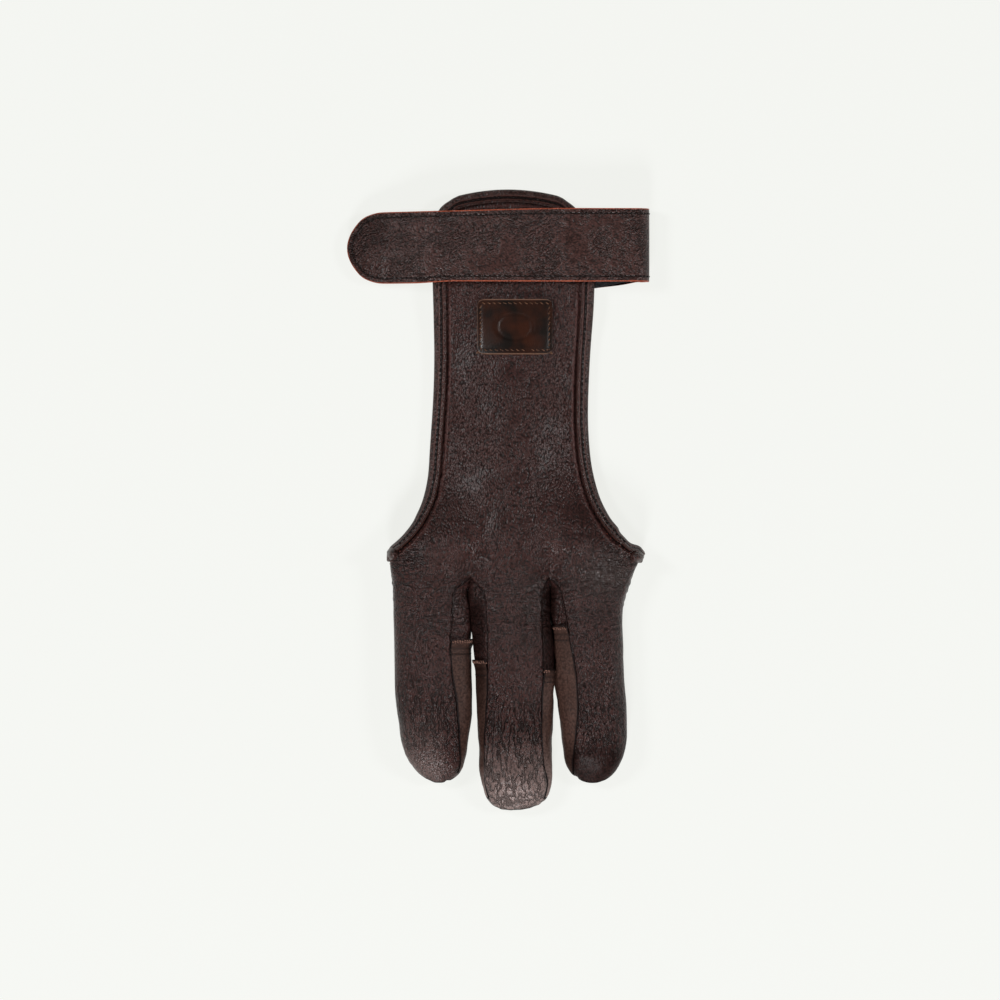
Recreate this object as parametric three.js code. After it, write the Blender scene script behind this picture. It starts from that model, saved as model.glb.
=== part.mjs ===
import * as THREE from "three";

// Three-finger archery glove of dark brown leather, lying empty and palm down on z = 0.
// Millimetres, +Z up, fingers toward -Y, wrist toward +Y, the index finger at -X.
// While the pieces are shaped, x = 0 is the centreline of the back panel and y = 0 the line
// through the two crotches. The last step moves the origin to the middle of the footprint.

// Leather and clearances
const leather = 1.2;
const seamGap = 0.3;
const clearance = 0.3;
const bindingWall = 1.0;
const bindingEase = 0.58;
const bindingWidth = 2.9;
const bindingShoulder = { out: 0.8, high: 0.62 };
const sharpTurn = 0.2;

// Back of the hand, from the crotch line to the wrist end
const palmLength = 8.4;
const flareLength = 27.6;
const panelLength = 99.8;
const knuckleWidth = 86;
const panelWidth = 55;
const handHeight = 14.4;
const webHeight = 9.2;
const webFoot = 0.55;
const webBulge = 2.4;

// Fingers, from the crotch line to the tip
const indexLength = 71.4;
const middleLength = 80.9;
const ringLength = 71.8;

// Wrist strap and its fastening
const strapCentre = 116.5;
const strapWidth = 26;
const strapLeather = 1.5;
const strapFreeReach = 57.8;
const strapFoldReach = 47.9;
const strapLoopGap = 4.8;
const strapSewnEnd = 25.5;
const strapUnderShift = 6;
const tapeThickness = 1.0;
const tapeMargin = 0.4;
const tapeEndInset = 8;
const hookThickness = 1.0;
const hookLength = 0.73 * panelWidth;
const hookWidth = 0.77 * strapWidth;
const hookShift = -1.5;
const hookCorner = 2;

// Label patch on the back
const labelLength = 26.2;
const labelWidth = 19.2;
const labelThickness = 1.1;
const labelCorner = 2.4;
const labelPlace = { x: 0.9, y: 87.7 };

// Fingers. root is where the middle of the finger leaves the hand and wide its width, both as
// shares of the knuckle width, thick its thickness as a share of the hand's height, and hem the
// share of its length where the smooth tip leather starts. In the tables at is a share of the
// length, side and half are shares of the width, high of the thickness, and seamLeft and
// seamRight say how far out, as a share of the half width, the back leather reaches.
const fingerTables = [
  {
    name: "index",
    length: indexLength,
    wide: 0.314,
    thick: 0.93,
    root: -0.33,
    hem: 0.33,
    outer: "left",
    sections: [
      { at: 0.0, side: 0.0, half: 0.508, high: 1.03, seamLeft: 0.7, seamRight: 0.96 },
      { at: 0.05, side: -0.016, half: 0.48, high: 1.02, seamLeft: 0.7, seamRight: 0.74 },
      { at: 0.09, side: 0.0, half: 0.494, high: 1.01, seamLeft: 0.7, seamRight: 0.68 },
      { at: 0.13, side: 0.003, half: 0.497, high: 1.0, seamLeft: 0.7, seamRight: 0.63 },
      { at: 0.24, side: 0.021, half: 0.505, high: 1.0, seamLeft: 0.7, seamRight: 0.57 },
      { at: 0.36, side: 0.03, half: 0.5, high: 1.0, seamLeft: 0.7, seamRight: 0.53 },
      { at: 0.6, side: 0.045, half: 0.5, high: 1.0, seamLeft: 0.7, seamRight: 0.66 },
      { at: 0.75, side: 0.058, half: 0.448, high: 0.97, seamLeft: 0.7, seamRight: 0.76 },
      { at: 0.87, side: 0.078, half: 0.377, high: 0.85, seamLeft: 0.75, seamRight: 0.88 },
      { at: 0.95, side: 0.1, half: 0.27, high: 0.62, seamLeft: 0.85, seamRight: 0.9 },
    ],
  },
  {
    name: "middle",
    length: middleLength,
    wide: 0.326,
    thick: 0.958,
    root: -0.012,
    hem: 0.39,
    outer: "none",
    sections: [
      { at: 0.0, side: 0.0, half: 0.488, high: 1.02, seamLeft: 0.96, seamRight: 0.96 },
      { at: 0.05, side: -0.003, half: 0.494, high: 1.01, seamLeft: 0.62, seamRight: 0.8 },
      { at: 0.12, side: 0.006, half: 0.492, high: 1.0, seamLeft: 0.58, seamRight: 0.78 },
      { at: 0.32, side: 0.062, half: 0.496, high: 1.0, seamLeft: 0.67, seamRight: 0.67 },
      { at: 0.53, side: 0.087, half: 0.487, high: 1.0, seamLeft: 0.74, seamRight: 0.64 },
      { at: 0.67, side: 0.075, half: 0.462, high: 0.97, seamLeft: 0.81, seamRight: 0.7 },
      { at: 0.8, side: 0.082, half: 0.444, high: 0.88, seamLeft: 0.88, seamRight: 0.78 },
      { at: 0.9, side: 0.098, half: 0.414, high: 0.76, seamLeft: 0.92, seamRight: 0.9 },
      { at: 0.95, side: 0.096, half: 0.371, high: 0.62, seamLeft: 0.92, seamRight: 0.92 },
    ],
  },
  {
    name: "ring",
    length: ringLength,
    wide: 0.302,
    thick: 0.917,
    root: 0.301,
    hem: 0.25,
    outer: "right",
    sections: [
      { at: 0.0, side: 0.05, half: 0.56, high: 1.03, seamLeft: 0.96, seamRight: 0.7 },
      { at: 0.05, side: 0.034, half: 0.53, high: 1.02, seamLeft: 0.82, seamRight: 0.7 },
      { at: 0.13, side: 0.0, half: 0.498, high: 1.0, seamLeft: 0.69, seamRight: 0.7 },
      { at: 0.36, side: 0.034, half: 0.464, high: 1.0, seamLeft: 0.51, seamRight: 0.7 },
      { at: 0.6, side: 0.074, half: 0.453, high: 1.0, seamLeft: 0.44, seamRight: 0.7 },
      { at: 0.75, side: 0.1, half: 0.438, high: 0.97, seamLeft: 0.53, seamRight: 0.7 },
      { at: 0.87, side: 0.095, half: 0.39, high: 0.86, seamLeft: 0.68, seamRight: 0.75 },
      { at: 0.95, side: 0.082, half: 0.28, high: 0.62, seamLeft: 0.9, seamRight: 0.85 },
    ],
  },
];

const fingers = fingerTables.map((finger) => ({
  ...finger,
  root: finger.root * knuckleWidth,
  width: finger.wide * knuckleWidth,
  thickness: finger.thick * handHeight,
}));

// Rows along a finger, as shares of the stretch above the hem and of the stretch below it, and
// the rounding of the end beyond the last row
const rowsAboveHem = [0.16, 0.36, 0.58, 0.8, 1];
const rowsBelowHem = [0.2, 0.4, 0.58, 0.75, 0.89, 1];
const lastSection = 0.95;
const tipRound = { across: 0.85, down: 0.75, droop: 0.85 };

// Columns round a finger: across the back, down each side, across the front
const acrossColumns = 8;
const sideColumns = 3;

// A finger's section is flat below and round above, and is widest low down
const widestShare = 0.4;
const roundness = 2.3;
const flatness = 4;
const restShare = 1.06;
const frontSeamAngle = 0.87;
const outerSeamAngle = { root: 0.08, tip: 0.87, reached: 0.3 };

// Outline and height of the back, in three stretches: beside the palm, the flare above the
// ears, and the panel up to the wrist end. at is a share of the stretch's length, left and
// right are shares of half the knuckle width, or on the panel of half the panel width, without
// the binding. edge and crown are heights as shares of the hand's height, above the height at
// which a bound edge rests. strap says how far the strap's under layer lifts that row, and
// drop how far the row bends back at its ends, as a share of the panel's width.
const palmRows = [
  { at: 0.0, left: 0.982, right: 0.972, edge: 0.167, crown: 0.796 },
  { at: 0.34, left: 0.988, right: 0.995, edge: 0.176, crown: 0.806 },
  { at: 0.7, left: 0.993, right: 1.03, edge: 0.186, crown: 0.816 },
  { at: 1.0, left: 0.99, right: 1.047, edge: 0.206, crown: 0.826 },
];
const flareRows = [
  { at: 0.06, left: 0.963, right: 1.012, edge: 0.34, crown: 0.826 },
  { at: 0.13, left: 0.91, right: 0.94, edge: 0.43, crown: 0.824 },
  { at: 0.22, left: 0.852, right: 0.845, edge: 0.46, crown: 0.814 },
  { at: 0.373, left: 0.778, right: 0.785, edge: 0.396, crown: 0.786 },
  { at: 0.558, left: 0.72, right: 0.72, edge: 0.276, crown: 0.746 },
  { at: 0.739, left: 0.68, right: 0.67, edge: 0.166, crown: 0.706 },
  { at: 1.0, left: 0.648, right: 0.625, edge: 0.056, crown: 0.646 },
];
const panelRows = [
  { at: 0.075, left: 0.995, right: 0.935, drop: 0, edge: 0.01, crown: 0.586, strap: 0 },
  { at: 0.183, left: 0.968, right: 0.91, drop: 0, edge: 0, crown: 0.506, strap: 0 },
  { at: 0.293, left: 0.945, right: 0.915, drop: 0, edge: 0, crown: 0.426, strap: 0 },
  { at: 0.415, left: 0.935, right: 0.935, drop: 0, edge: 0, crown: 0.346, strap: 0 },
  { at: 0.51, left: 0.94, right: 0.96, drop: 0, edge: 0, crown: 0.243, strap: 0.35 },
  { at: 0.592, left: 0.945, right: 0.98, drop: 0, edge: 0, crown: 0.12, strap: 1 },
  { at: 0.687, left: 0.955, right: 0.99, drop: 0, edge: 0, crown: 0.09, strap: 1 },
  { at: 0.782, left: 0.955, right: 0.985, drop: 0, edge: 0, crown: 0.09, strap: 1 },
  { at: 0.857, left: 0.945, right: 0.94, drop: 0, edge: 0, crown: 0.082, strap: 1 },
  { at: 0.912, left: 0.915, right: 0.845, drop: 0.008, edge: 0, crown: 0.07, strap: 1 },
  { at: 0.952, left: 0.86, right: 0.75, drop: 0.024, edge: 0, crown: 0.06, strap: 1 },
  { at: 0.986, left: 0.76, right: 0.65, drop: 0.05, edge: 0, crown: 0.05, strap: 1 },
];
const archPower = 1.5;
const knucklesFade = 0.9;

// The palm leather: how far its columns even out toward the hem, and how sharply it curls up
// to the back at its two ends
const palmEvening = 0.5;
const palmCurl = { sharp: 12, soft: 1 / 3 };

// Height of the strap's upper layer, as a share of its full height over the panel and at the
// fold. at is a share of its length, counted from the free end.
const strapRise = [
  { at: 0.0, high: 0.36 },
  { at: 0.08, high: 0.42 },
  { at: 0.16, high: 0.58 },
  { at: 0.23, high: 0.79 },
  { at: 0.3, high: 0.92 },
  { at: 0.42, high: 0.985 },
  { at: 0.57, high: 1.01 },
  { at: 0.72, high: 0.985 },
  { at: 0.85, high: 0.955 },
  { at: 0.93, high: 0.985 },
  { at: 1.0, high: 1.0 },
];
const strapTaper = [
  { at: 0.0, wide: 0.945, shift: -0.025 },
  { at: 0.35, wide: 0.965, shift: -0.015 },
  { at: 0.7, wide: 1.0, shift: 0 },
  { at: 1.0, wide: 1.0, shift: 0 },
];
const strapSteps = 22;
const strapColumns = 4;
const foldSteps = 8;
const underSteps = 8;

// The strap's round end: rows by their angle from the tip, and where each row crosses the
// middle, as a share of the radius. The under layer leaves the fold at a slant: share of it
// within reach, which is a share of the strap's width.
const endArcs = [0.88, 1.14, 1.37];
const endMiddles = [1, 0.75, 0.42];
const slantStart = { share: 0.45, reach: 0.55 };

// Steps of a patch along half its side that lie between the rounded corner and the middle
const cornerStep = 0.3;

// Smooth curve through one column of a table
function readColumn(table, place, column) {
  const last = table.length - 1;
  if (place <= table[0].at) return table[0][column];
  if (place >= table[last].at) return table[last][column];
  let i = 0;
  while (table[i + 1].at < place) i += 1;
  const slopeAt = (k) => {
    const before = table[Math.max(k - 1, 0)];
    const after = table[Math.min(k + 1, last)];
    return (after[column] - before[column]) / (after.at - before.at);
  };
  const step = table[i + 1].at - table[i].at;
  const t = (place - table[i].at) / step;
  const start = table[i][column];
  const end = table[i + 1][column];
  const bend = (1 - t) * slopeAt(i) - t * slopeAt(i + 1);
  const chord = end - start;
  return start + chord * t * t * (3 - 2 * t) + step * t * (1 - t) * bend;
}

const mix = THREE.MathUtils.lerp;

// Outer skin: one mesh of four-sided faces for the whole glove, in which neighbouring pieces
// share their seam. Each face knows the piece that it belongs to.
const skinPoints = [];
const skinFaces = [];

function addPoint(x, y, z) {
  skinPoints.push(new THREE.Vector3(x, y, z));
  return skinPoints.length - 1;
}

function addFace(piece, a, b, c, d) {
  skinFaces.push({ piece, corners: [a, b, c, d] });
}

// Point of a finger's section. The angle is 0 at the right side and a quarter turn at the top.
function sectionPoint(finger, at, angle) {
  const middle = finger.root + finger.width * readColumn(finger.sections, at, "side");
  const halfWidth = finger.width * readColumn(finger.sections, at, "half");
  const height = finger.thickness * readColumn(finger.sections, at, "high");
  const widest = height * widestShare;
  const cos = Math.cos(angle);
  const sin = Math.sin(angle);
  const power = 2 / (sin > 0 ? roundness : flatness);
  const x = middle + halfWidth * Math.sign(cos) * Math.abs(cos) ** power;
  const rise = Math.abs(sin) ** power;
  const z = sin > 0 ? widest + (height - widest) * rise : Math.max(0, widest * (1 - restShare * rise));
  return { x, z };
}

// Angles of the columns of one section: back from left to right, right side downward, front
// from right to left, left side upward
function sectionAngles(finger, at) {
  const seamAngle = (share) => Math.acos(share ** (roundness / 2));
  const low = mix(
    outerSeamAngle.root,
    outerSeamAngle.tip,
    THREE.MathUtils.smoothstep(at, 0, outerSeamAngle.reached),
  );
  const topLeft = Math.PI - seamAngle(readColumn(finger.sections, at, "seamLeft"));
  const topRight = seamAngle(readColumn(finger.sections, at, "seamRight"));
  const lowRight = finger.outer === "right" ? -low : -frontSeamAngle;
  const lowLeft = finger.outer === "left" ? Math.PI + low : Math.PI + frontSeamAngle;
  const angles = [];
  for (let i = 0; i < acrossColumns; i += 1) angles.push(mix(topLeft, topRight, i / acrossColumns));
  for (let i = 0; i < sideColumns; i += 1) angles.push(mix(topRight, lowRight, i / sideColumns));
  const lowLeftBelow = lowLeft - 2 * Math.PI;
  for (let i = 0; i < acrossColumns; i += 1) angles.push(mix(lowRight, lowLeftBelow, i / acrossColumns));
  for (let i = 0; i < sideColumns; i += 1) angles.push(mix(lowLeft, topLeft, i / sideColumns));
  return angles;
}

// Row of points across the crotch line, above and below, and the two webs between fingers
const crotchBack = [];
const crotchPalm = [];
const webs = [];

function buildCrotchRow() {
  const loops = fingers.map((finger) =>
    sectionAngles(finger, 0).map((angle) => sectionPoint(finger, 0, angle)),
  );
  const webPlaces = [0, 1].map((i) => {
    const rightSide = sectionPoint(fingers[i], 0, 0).x;
    const leftSide = sectionPoint(fingers[i + 1], 0, Math.PI).x;
    return (rightSide + leftSide) / 2;
  });
  const frontStart = acrossColumns + sideColumns;
  const leftStart = frontStart + acrossColumns;
  for (let i = 0; i < sideColumns; i += 1) {
    const point = loops[0][leftStart + i];
    crotchBack.push(addPoint(point.x, 0, point.z));
  }
  fingers.forEach((finger, f) => {
    for (let i = 0; i < acrossColumns; i += 1) {
      if (i === 0 && f > 0) {
        crotchBack.push(addPoint(webPlaces[f - 1], 0, webHeight));
      } else {
        const point = loops[f][i];
        crotchBack.push(addPoint(point.x, 0, point.z));
      }
    }
  });
  for (let i = 0; i <= sideColumns; i += 1) {
    const point = loops[2][acrossColumns + i];
    crotchBack.push(addPoint(point.x, 0, point.z));
  }
  crotchPalm.push(crotchBack[0]);
  fingers.forEach((finger, f) => {
    for (let i = 1; i <= acrossColumns; i += 1) {
      if (i === acrossColumns && f === 2) {
        crotchPalm.push(crotchBack[crotchBack.length - 1]);
      } else if (i === acrossColumns) {
        crotchPalm.push(addPoint(webPlaces[f], 0, webFoot));
      } else {
        const point = loops[f][leftStart - i];
        crotchPalm.push(addPoint(point.x, 0, point.z));
      }
    }
  });
  for (let w = 0; w < 2; w += 1) {
    const top = crotchBack[sideColumns + acrossColumns * (w + 1)];
    const bottom = crotchPalm[acrossColumns * (w + 1)];
    const web = [top];
    for (let i = 1; i < sideColumns; i += 1) {
      const height = mix(webHeight, 0, i / sideColumns);
      web.push(addPoint(webPlaces[w], -webBulge, height));
    }
    web.push(bottom);
    webs.push(web);
  }
}

// Piece that a finger's face belongs to
function fingerPiece(finger, column, belowHem) {
  const tip = `tip_${finger.name}`;
  const wall = { index: "side_wall_index_middle", ring: "side_wall_middle_ring" };
  if (column < acrossColumns) return "back_leather";
  if (column < acrossColumns + sideColumns) {
    if (finger.outer === "right") return "back_leather";
    return belowHem ? tip : finger.name === "index" ? wall.index : wall.ring;
  }
  if (column < 2 * acrossColumns + sideColumns) return belowHem ? tip : "palm_leather";
  if (finger.outer === "left") return "back_leather";
  return belowHem ? tip : finger.name === "ring" ? wall.ring : wall.index;
}

// First loop of a finger, taken from the crotch row and the webs
function rootLoop(f) {
  const start = sideColumns + acrossColumns * f;
  const back = crotchBack.slice(start, start + acrossColumns);
  const right = f < 2 ? webs[f].slice(0, sideColumns) : crotchBack.slice(start + acrossColumns, -1);
  const palm = crotchPalm.slice(acrossColumns * f + 1, acrossColumns * (f + 1) + 1).reverse();
  const left = f > 0 ? webs[f - 1].slice(1).reverse() : crotchBack.slice(0, sideColumns);
  return [...back, ...right, ...palm, ...left];
}

function buildFinger(finger, f) {
  const stations = [
    ...rowsAboveHem.map((share) => share * finger.hem),
    ...rowsBelowHem.map((share) => mix(finger.hem, lastSection, share)),
  ];
  let previous = rootLoop(f);
  stations.forEach((at, row) => {
    const loop = sectionAngles(finger, at).map((angle) => {
      const point = sectionPoint(finger, at, angle);
      return addPoint(point.x, -at * finger.length, point.z);
    });
    for (let i = 0; i < loop.length; i += 1) {
      const next = (i + 1) % loop.length;
      const piece = fingerPiece(finger, i, row >= rowsAboveHem.length);
      addFace(piece, previous[i], loop[i], loop[next], previous[next]);
    }
    previous = loop;
  });
  closeTip(finger, previous);
}

// Rounded end of a finger: a grid that fills the last loop and bulges to the full length
function closeTip(finger, loop) {
  const bulge = (1 - lastSection) * finger.length;
  const middleRow = 1 / sideColumns;
  const corner = (i, j) => {
    if (j === 0) return loop[i];
    if (j === sideColumns) return loop[2 * acrossColumns + sideColumns - i];
    if (i === 0) return loop[(loop.length - j) % loop.length];
    if (i === acrossColumns) return loop[acrossColumns + j];
    return -1;
  };
  const grid = [];
  for (let j = 0; j <= sideColumns; j += 1) {
    grid.push([]);
    for (let i = 0; i <= acrossColumns; i += 1) {
      let point = corner(i, j);
      if (point < 0) {
        const across = skinPoints[corner(0, j)].clone();
        across.lerp(skinPoints[corner(acrossColumns, j)], i / acrossColumns);
        const down = skinPoints[corner(i, 0)].clone();
        down.lerp(skinPoints[corner(i, sideColumns)], j / sideColumns);
        const u = (2 * i) / acrossColumns - 1;
        const v = (2 * j) / sideColumns - 1;
        const full = 1 - tipRound.down * middleRow * middleRow;
        const share = Math.sqrt((1 - tipRound.down * v * v) / full) * (1 - u * u) ** tipRound.across;
        point = addPoint(down.x, down.y - bulge * share, mix(across.z, down.z, tipRound.droop));
      }
      grid[j].push(point);
    }
  }
  for (let j = 0; j < sideColumns; j += 1) {
    for (let i = 0; i < acrossColumns; i += 1) {
      const piece = j === 0 ? "back_leather" : `tip_${finger.name}`;
      addFace(piece, grid[j][i], grid[j + 1][i], grid[j + 1][i + 1], grid[j][i + 1]);
    }
  }
}

// Back of the hand as real sizes at each row
const backLength = palmLength + flareLength + panelLength;
const bindingReach = bindingEase + bindingWall;
const restingEdge = bindingReach + leather;
const strapLift = strapLeather + clearance;
const backRows = [
  ...palmRows.map((row) => ({ ...row, half: knuckleWidth / 2, y: row.at * palmLength })),
  ...flareRows.map((row) => ({ ...row, half: knuckleWidth / 2, y: palmLength + row.at * flareLength })),
  ...panelRows.map((row) => ({ ...row, half: panelWidth / 2, y: backLength + (row.at - 1) * panelLength })),
].map((row) => {
  const base = restingEdge + (row.strap ?? 0) * strapLift;
  return {
    at: row.y,
    left: -row.left * row.half,
    right: row.right * row.half,
    drop: (row.drop ?? 0) * panelWidth,
    edge: base + row.edge * handHeight,
    crown: base + row.crown * handHeight,
  };
});

// Arch of the back between its two edges, for u from -1 to 1
const archShare = (u) => (1 - Math.min(u * u, 1)) ** archPower;

// Height of the outer face of the back above the table, away from the knuckles
function backHeight(x, y) {
  const left = readColumn(backRows, y, "left");
  const right = readColumn(backRows, y, "right");
  const edge = readColumn(backRows, y, "edge");
  const crown = readColumn(backRows, y, "crown");
  return mix(edge, crown, archShare((2 * (x - left)) / (right - left) - 1));
}

const backGrid = [];
const palmGrid = [];

function buildBack() {
  const columns = crotchBack.length - 1;
  const first = skinPoints[crotchBack[0]];
  const last = skinPoints[crotchBack[columns]];
  const highest = Math.max(...crotchBack.map((id) => skinPoints[id].z));
  const crotchShares = crotchBack.map((id) => (skinPoints[id].x - first.x) / (last.x - first.x));
  const crotchHeights = crotchBack.map((id, i) => {
    const base = mix(first.z, last.z, crotchShares[i]);
    return (skinPoints[id].z - base) / (highest - base);
  });
  backGrid.push(crotchBack);
  for (const row of backRows.slice(1)) {
    const fade = THREE.MathUtils.smoothstep(row.at, 0, knucklesFade * (palmLength + flareLength));
    const line = crotchBack.map((id, i) => {
      const u = (2 * i) / columns - 1;
      const share = mix(crotchShares[i], i / columns, fade);
      const lift = mix(crotchHeights[i], archShare(u), fade);
      const x = mix(row.left, row.right, share);
      return addPoint(x, row.at - row.drop * u * u, mix(row.edge, row.crown, lift));
    });
    const below = backGrid[backGrid.length - 1];
    for (let i = 0; i < columns; i += 1) {
      addFace("back_leather", below[i], below[i + 1], line[i + 1], line[i]);
    }
    backGrid.push(line);
  }
}

// Short band of leather across the palm, from the crotch line to the bound hem
function buildPalm() {
  const columns = crotchPalm.length - 1;
  const first = skinPoints[crotchPalm[0]];
  const last = skinPoints[crotchPalm[columns]];
  const shares = crotchPalm.map((id) => (skinPoints[id].x - first.x) / (last.x - first.x));
  palmGrid.push(crotchPalm);
  for (let r = 1; r < palmRows.length; r += 1) {
    const leftEnd = skinPoints[backGrid[r][0]];
    const rightEnd = skinPoints[backGrid[r][backGrid[r].length - 1]];
    const forward = palmRows[r].at;
    const line = crotchPalm.map((id, i) => {
      if (i === 0) return backGrid[r][0];
      if (i === columns) return backGrid[r][backGrid[r].length - 1];
      const share = mix(shares[i], i / columns, forward * palmEvening);
      const u = 2 * share - 1;
      const curl = 1 - (1 - Math.abs(u) ** palmCurl.sharp) ** palmCurl.soft;
      const rest = Math.max(bindingReach * forward, skinPoints[id].z * (1 - forward));
      const z = mix(rest, leftEnd.z, curl);
      return addPoint(mix(leftEnd.x, rightEnd.x, share), leftEnd.y, z);
    });
    const below = palmGrid[palmGrid.length - 1];
    for (let i = 0; i < columns; i += 1) {
      addFace("palm_leather", below[i], line[i], line[i + 1], below[i + 1]);
    }
    palmGrid.push(line);
  }
}

// Outward normal at every point, from the faces round it
function pointNormals(points, faces) {
  const normals = points.map(() => new THREE.Vector3());
  const one = new THREE.Vector3();
  const two = new THREE.Vector3();
  for (const face of faces) {
    const corners = face.corners;
    for (let i = 0; i < corners.length; i += 1) {
      const here = points[corners[i]];
      one.subVectors(points[corners[(i + 1) % corners.length]], here);
      two.subVectors(points[corners[(i + corners.length - 1) % corners.length]], here);
      const angle = one.angleTo(two);
      normals[corners[i]].addScaledVector(one.clone().cross(two).normalize(), angle);
    }
  }
  normals.forEach((normal) => normal.normalize());
  return normals;
}

// Edges that only one of the faces uses, in the direction that the face runs
function borderEdges(faces) {
  const edges = new Map();
  for (const { corners } of faces) {
    corners.forEach((from, i) => {
      const to = corners[(i + 1) % corners.length];
      const back = `${to}>${from}`;
      if (edges.has(back)) edges.delete(back);
      else edges.set(`${from}>${to}`, [from, to]);
    });
  }
  return [...edges.values()];
}

// Closed geometry from points and four-sided faces
function geometryFrom(points, quads) {
  const geometry = new THREE.BufferGeometry();
  const positions = new Float32Array(points.length * 3);
  points.forEach((point, i) => point.toArray(positions, 3 * i));
  const index = [];
  for (const [a, b, c, d] of quads) {
    const acrossFirst = points[a].distanceToSquared(points[c]);
    const acrossSecond = points[b].distanceToSquared(points[d]);
    if (acrossFirst <= acrossSecond) index.push(a, b, c, a, c, d);
    else index.push(a, b, d, b, c, d);
  }
  geometry.setAttribute("position", new THREE.BufferAttribute(positions, 3));
  geometry.setIndex(index);
  geometry.computeVertexNormals();
  return geometry;
}

// Sheet of leather: the faces as its outer side, a wall of the given thickness inward, and
// half a seam gap cut away along every edge named in seamEdges
function sheet(points, normals, faces, thickness, seamEdges = []) {
  const moves = new Map();
  for (const [from, to] of seamEdges) {
    const along = new THREE.Vector3().subVectors(points[to], points[from]);
    for (const id of [from, to]) {
      const inward = normals[id].clone().cross(along).normalize();
      if (!moves.has(id)) moves.set(id, []);
      moves.get(id).push(inward);
    }
  }
  const ids = [...new Set(faces.flatMap((face) => face.corners))];
  const place = new Map(ids.map((id, i) => [id, i]));
  const outer = ids.map((id) => {
    const point = points[id].clone();
    const inwards = moves.get(id) ?? [];
    if (inwards.length === 0) return point;
    const sum = new THREE.Vector3();
    inwards.forEach((inward) => sum.add(inward));
    const spread = Math.max(sum.length() / inwards.length, 0.6);
    return point.addScaledVector(sum.normalize(), seamGap / 2 / spread);
  });
  const inner = ids.map((id, i) => outer[i].clone().addScaledVector(normals[id], -thickness));
  const count = ids.length;
  const quads = [];
  for (const { corners } of faces) {
    const [a, b, c, d] = corners.map((id) => place.get(id));
    quads.push([a, b, c, d]);
    quads.push([count + a, count + d, count + c, count + b]);
  }
  for (const [from, to] of borderEdges(faces)) {
    const p = place.get(from);
    const q = place.get(to);
    quads.push([q, p, count + p, count + q]);
  }
  return geometryFrom([...outer, ...inner], quads);
}

// Nearest place on the skin to a point, with the skin's outward normal there
function skinNear(point, normals) {
  const triangle = new THREE.Triangle();
  const foot = new THREE.Vector3();
  const weights = new THREE.Vector3();
  let best = { distance: Infinity };
  for (const { corners } of skinFaces) {
    for (const ids of [corners.slice(0, 3), [corners[0], corners[2], corners[3]]]) {
      triangle.set(...ids.map((id) => skinPoints[id]));
      triangle.closestPointToPoint(point, foot);
      const distance = foot.distanceTo(point);
      if (distance < best.distance) {
        triangle.getBarycoord(foot, weights);
        const normal = new THREE.Vector3();
        ids.forEach((id, i) => normal.addScaledVector(normals[id], weights.getComponent(i)));
        best = { distance, point: foot.clone(), normal: normal.normalize() };
      }
    }
  }
  return best;
}

// Places along the free edge, with one more in the middle of each step that turns sharply
function bindingStations(edge, normals) {
  return edge.flatMap((id, i) => {
    const next = edge[(i + 1) % edge.length];
    const station = { point: skinPoints[id], normal: normals[id] };
    if (normals[id].angleTo(normals[next]) < sharpTurn) return [station];
    const point = skinPoints[id].clone().lerp(skinPoints[next], 0.5);
    return [station, { point, normal: normals[id].clone().add(normals[next]).normalize() }];
  });
}

// Binding: a strip folded over the whole free edge, swept along it as a U whose arms follow
// the leather
function bindingGeometry(normals) {
  const hem = palmGrid[palmGrid.length - 1];
  const rows = backGrid.slice(palmGrid.length);
  const lastRow = rows[rows.length - 1];
  const edge = [
    ...[...hem].reverse(),
    ...rows.map((row) => row[0]),
    ...lastRow.slice(1, -1),
    ...rows.map((row) => row[row.length - 1]).reverse(),
  ];
  const middle = -leather / 2;
  const inside = leather / 2 + bindingEase;
  const outside = inside + bindingWall;
  const arm = -bindingWidth;
  const shoulder = bindingShoulder;
  const profile = [
    [arm, middle + outside],
    [-clearance, middle + outside],
    [bindingReach * shoulder.out, middle + outside * shoulder.high],
    [bindingReach, middle],
    [bindingReach * shoulder.out, middle - outside * shoulder.high],
    [-clearance, middle - outside],
    [arm, middle - outside],
    [arm, middle - inside],
    [bindingEase, middle - inside],
    [bindingEase, middle + inside],
    [arm, middle + inside],
  ];
  const stations = bindingStations(edge, normals);
  const points = [];
  stations.forEach((station, i) => {
    const before = stations[(i + stations.length - 1) % stations.length].point;
    const after = stations[(i + 1) % stations.length].point;
    const toStation = new THREE.Vector3().subVectors(station.point, before).normalize();
    const fromStation = new THREE.Vector3().subVectors(after, station.point).normalize();
    const along = toStation.add(fromStation).normalize();
    const outward = station.normal.clone().cross(along).normalize();
    const up = along.clone().cross(outward).normalize();
    const armFoot = skinNear(station.point.clone().addScaledVector(outward, arm), normals);
    for (const [out, high] of profile) {
      const point = out === arm ? armFoot.point.clone() : station.point.clone();
      if (out === arm) point.addScaledVector(armFoot.normal, high);
      else point.addScaledVector(outward, out).addScaledVector(up, high);
      point.z = Math.max(point.z, 0);
      points.push(point);
    }
  });
  const quads = [];
  const n = profile.length;
  for (let i = 0; i < stations.length; i += 1) {
    const next = (i + 1) % stations.length;
    for (let j = 0; j < n; j += 1) {
      const k = (j + 1) % n;
      quads.push([i * n + j, next * n + j, next * n + k, i * n + k]);
    }
  }
  return geometryFrom(points, quads);
}

// Grid of points as a sheet whose outer side is on the left of its rows
function gridSheet(rows, thickness) {
  const points = rows.flat();
  const width = rows[0].length;
  const faces = [];
  for (let r = 0; r + 1 < rows.length; r += 1) {
    for (let c = 0; c + 1 < width; c += 1) {
      const a = r * width + c;
      faces.push({ corners: [a, a + 1, a + width + 1, a + width] });
    }
  }
  return sheet(points, pointNormals(points, faces), faces, thickness);
}

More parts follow.
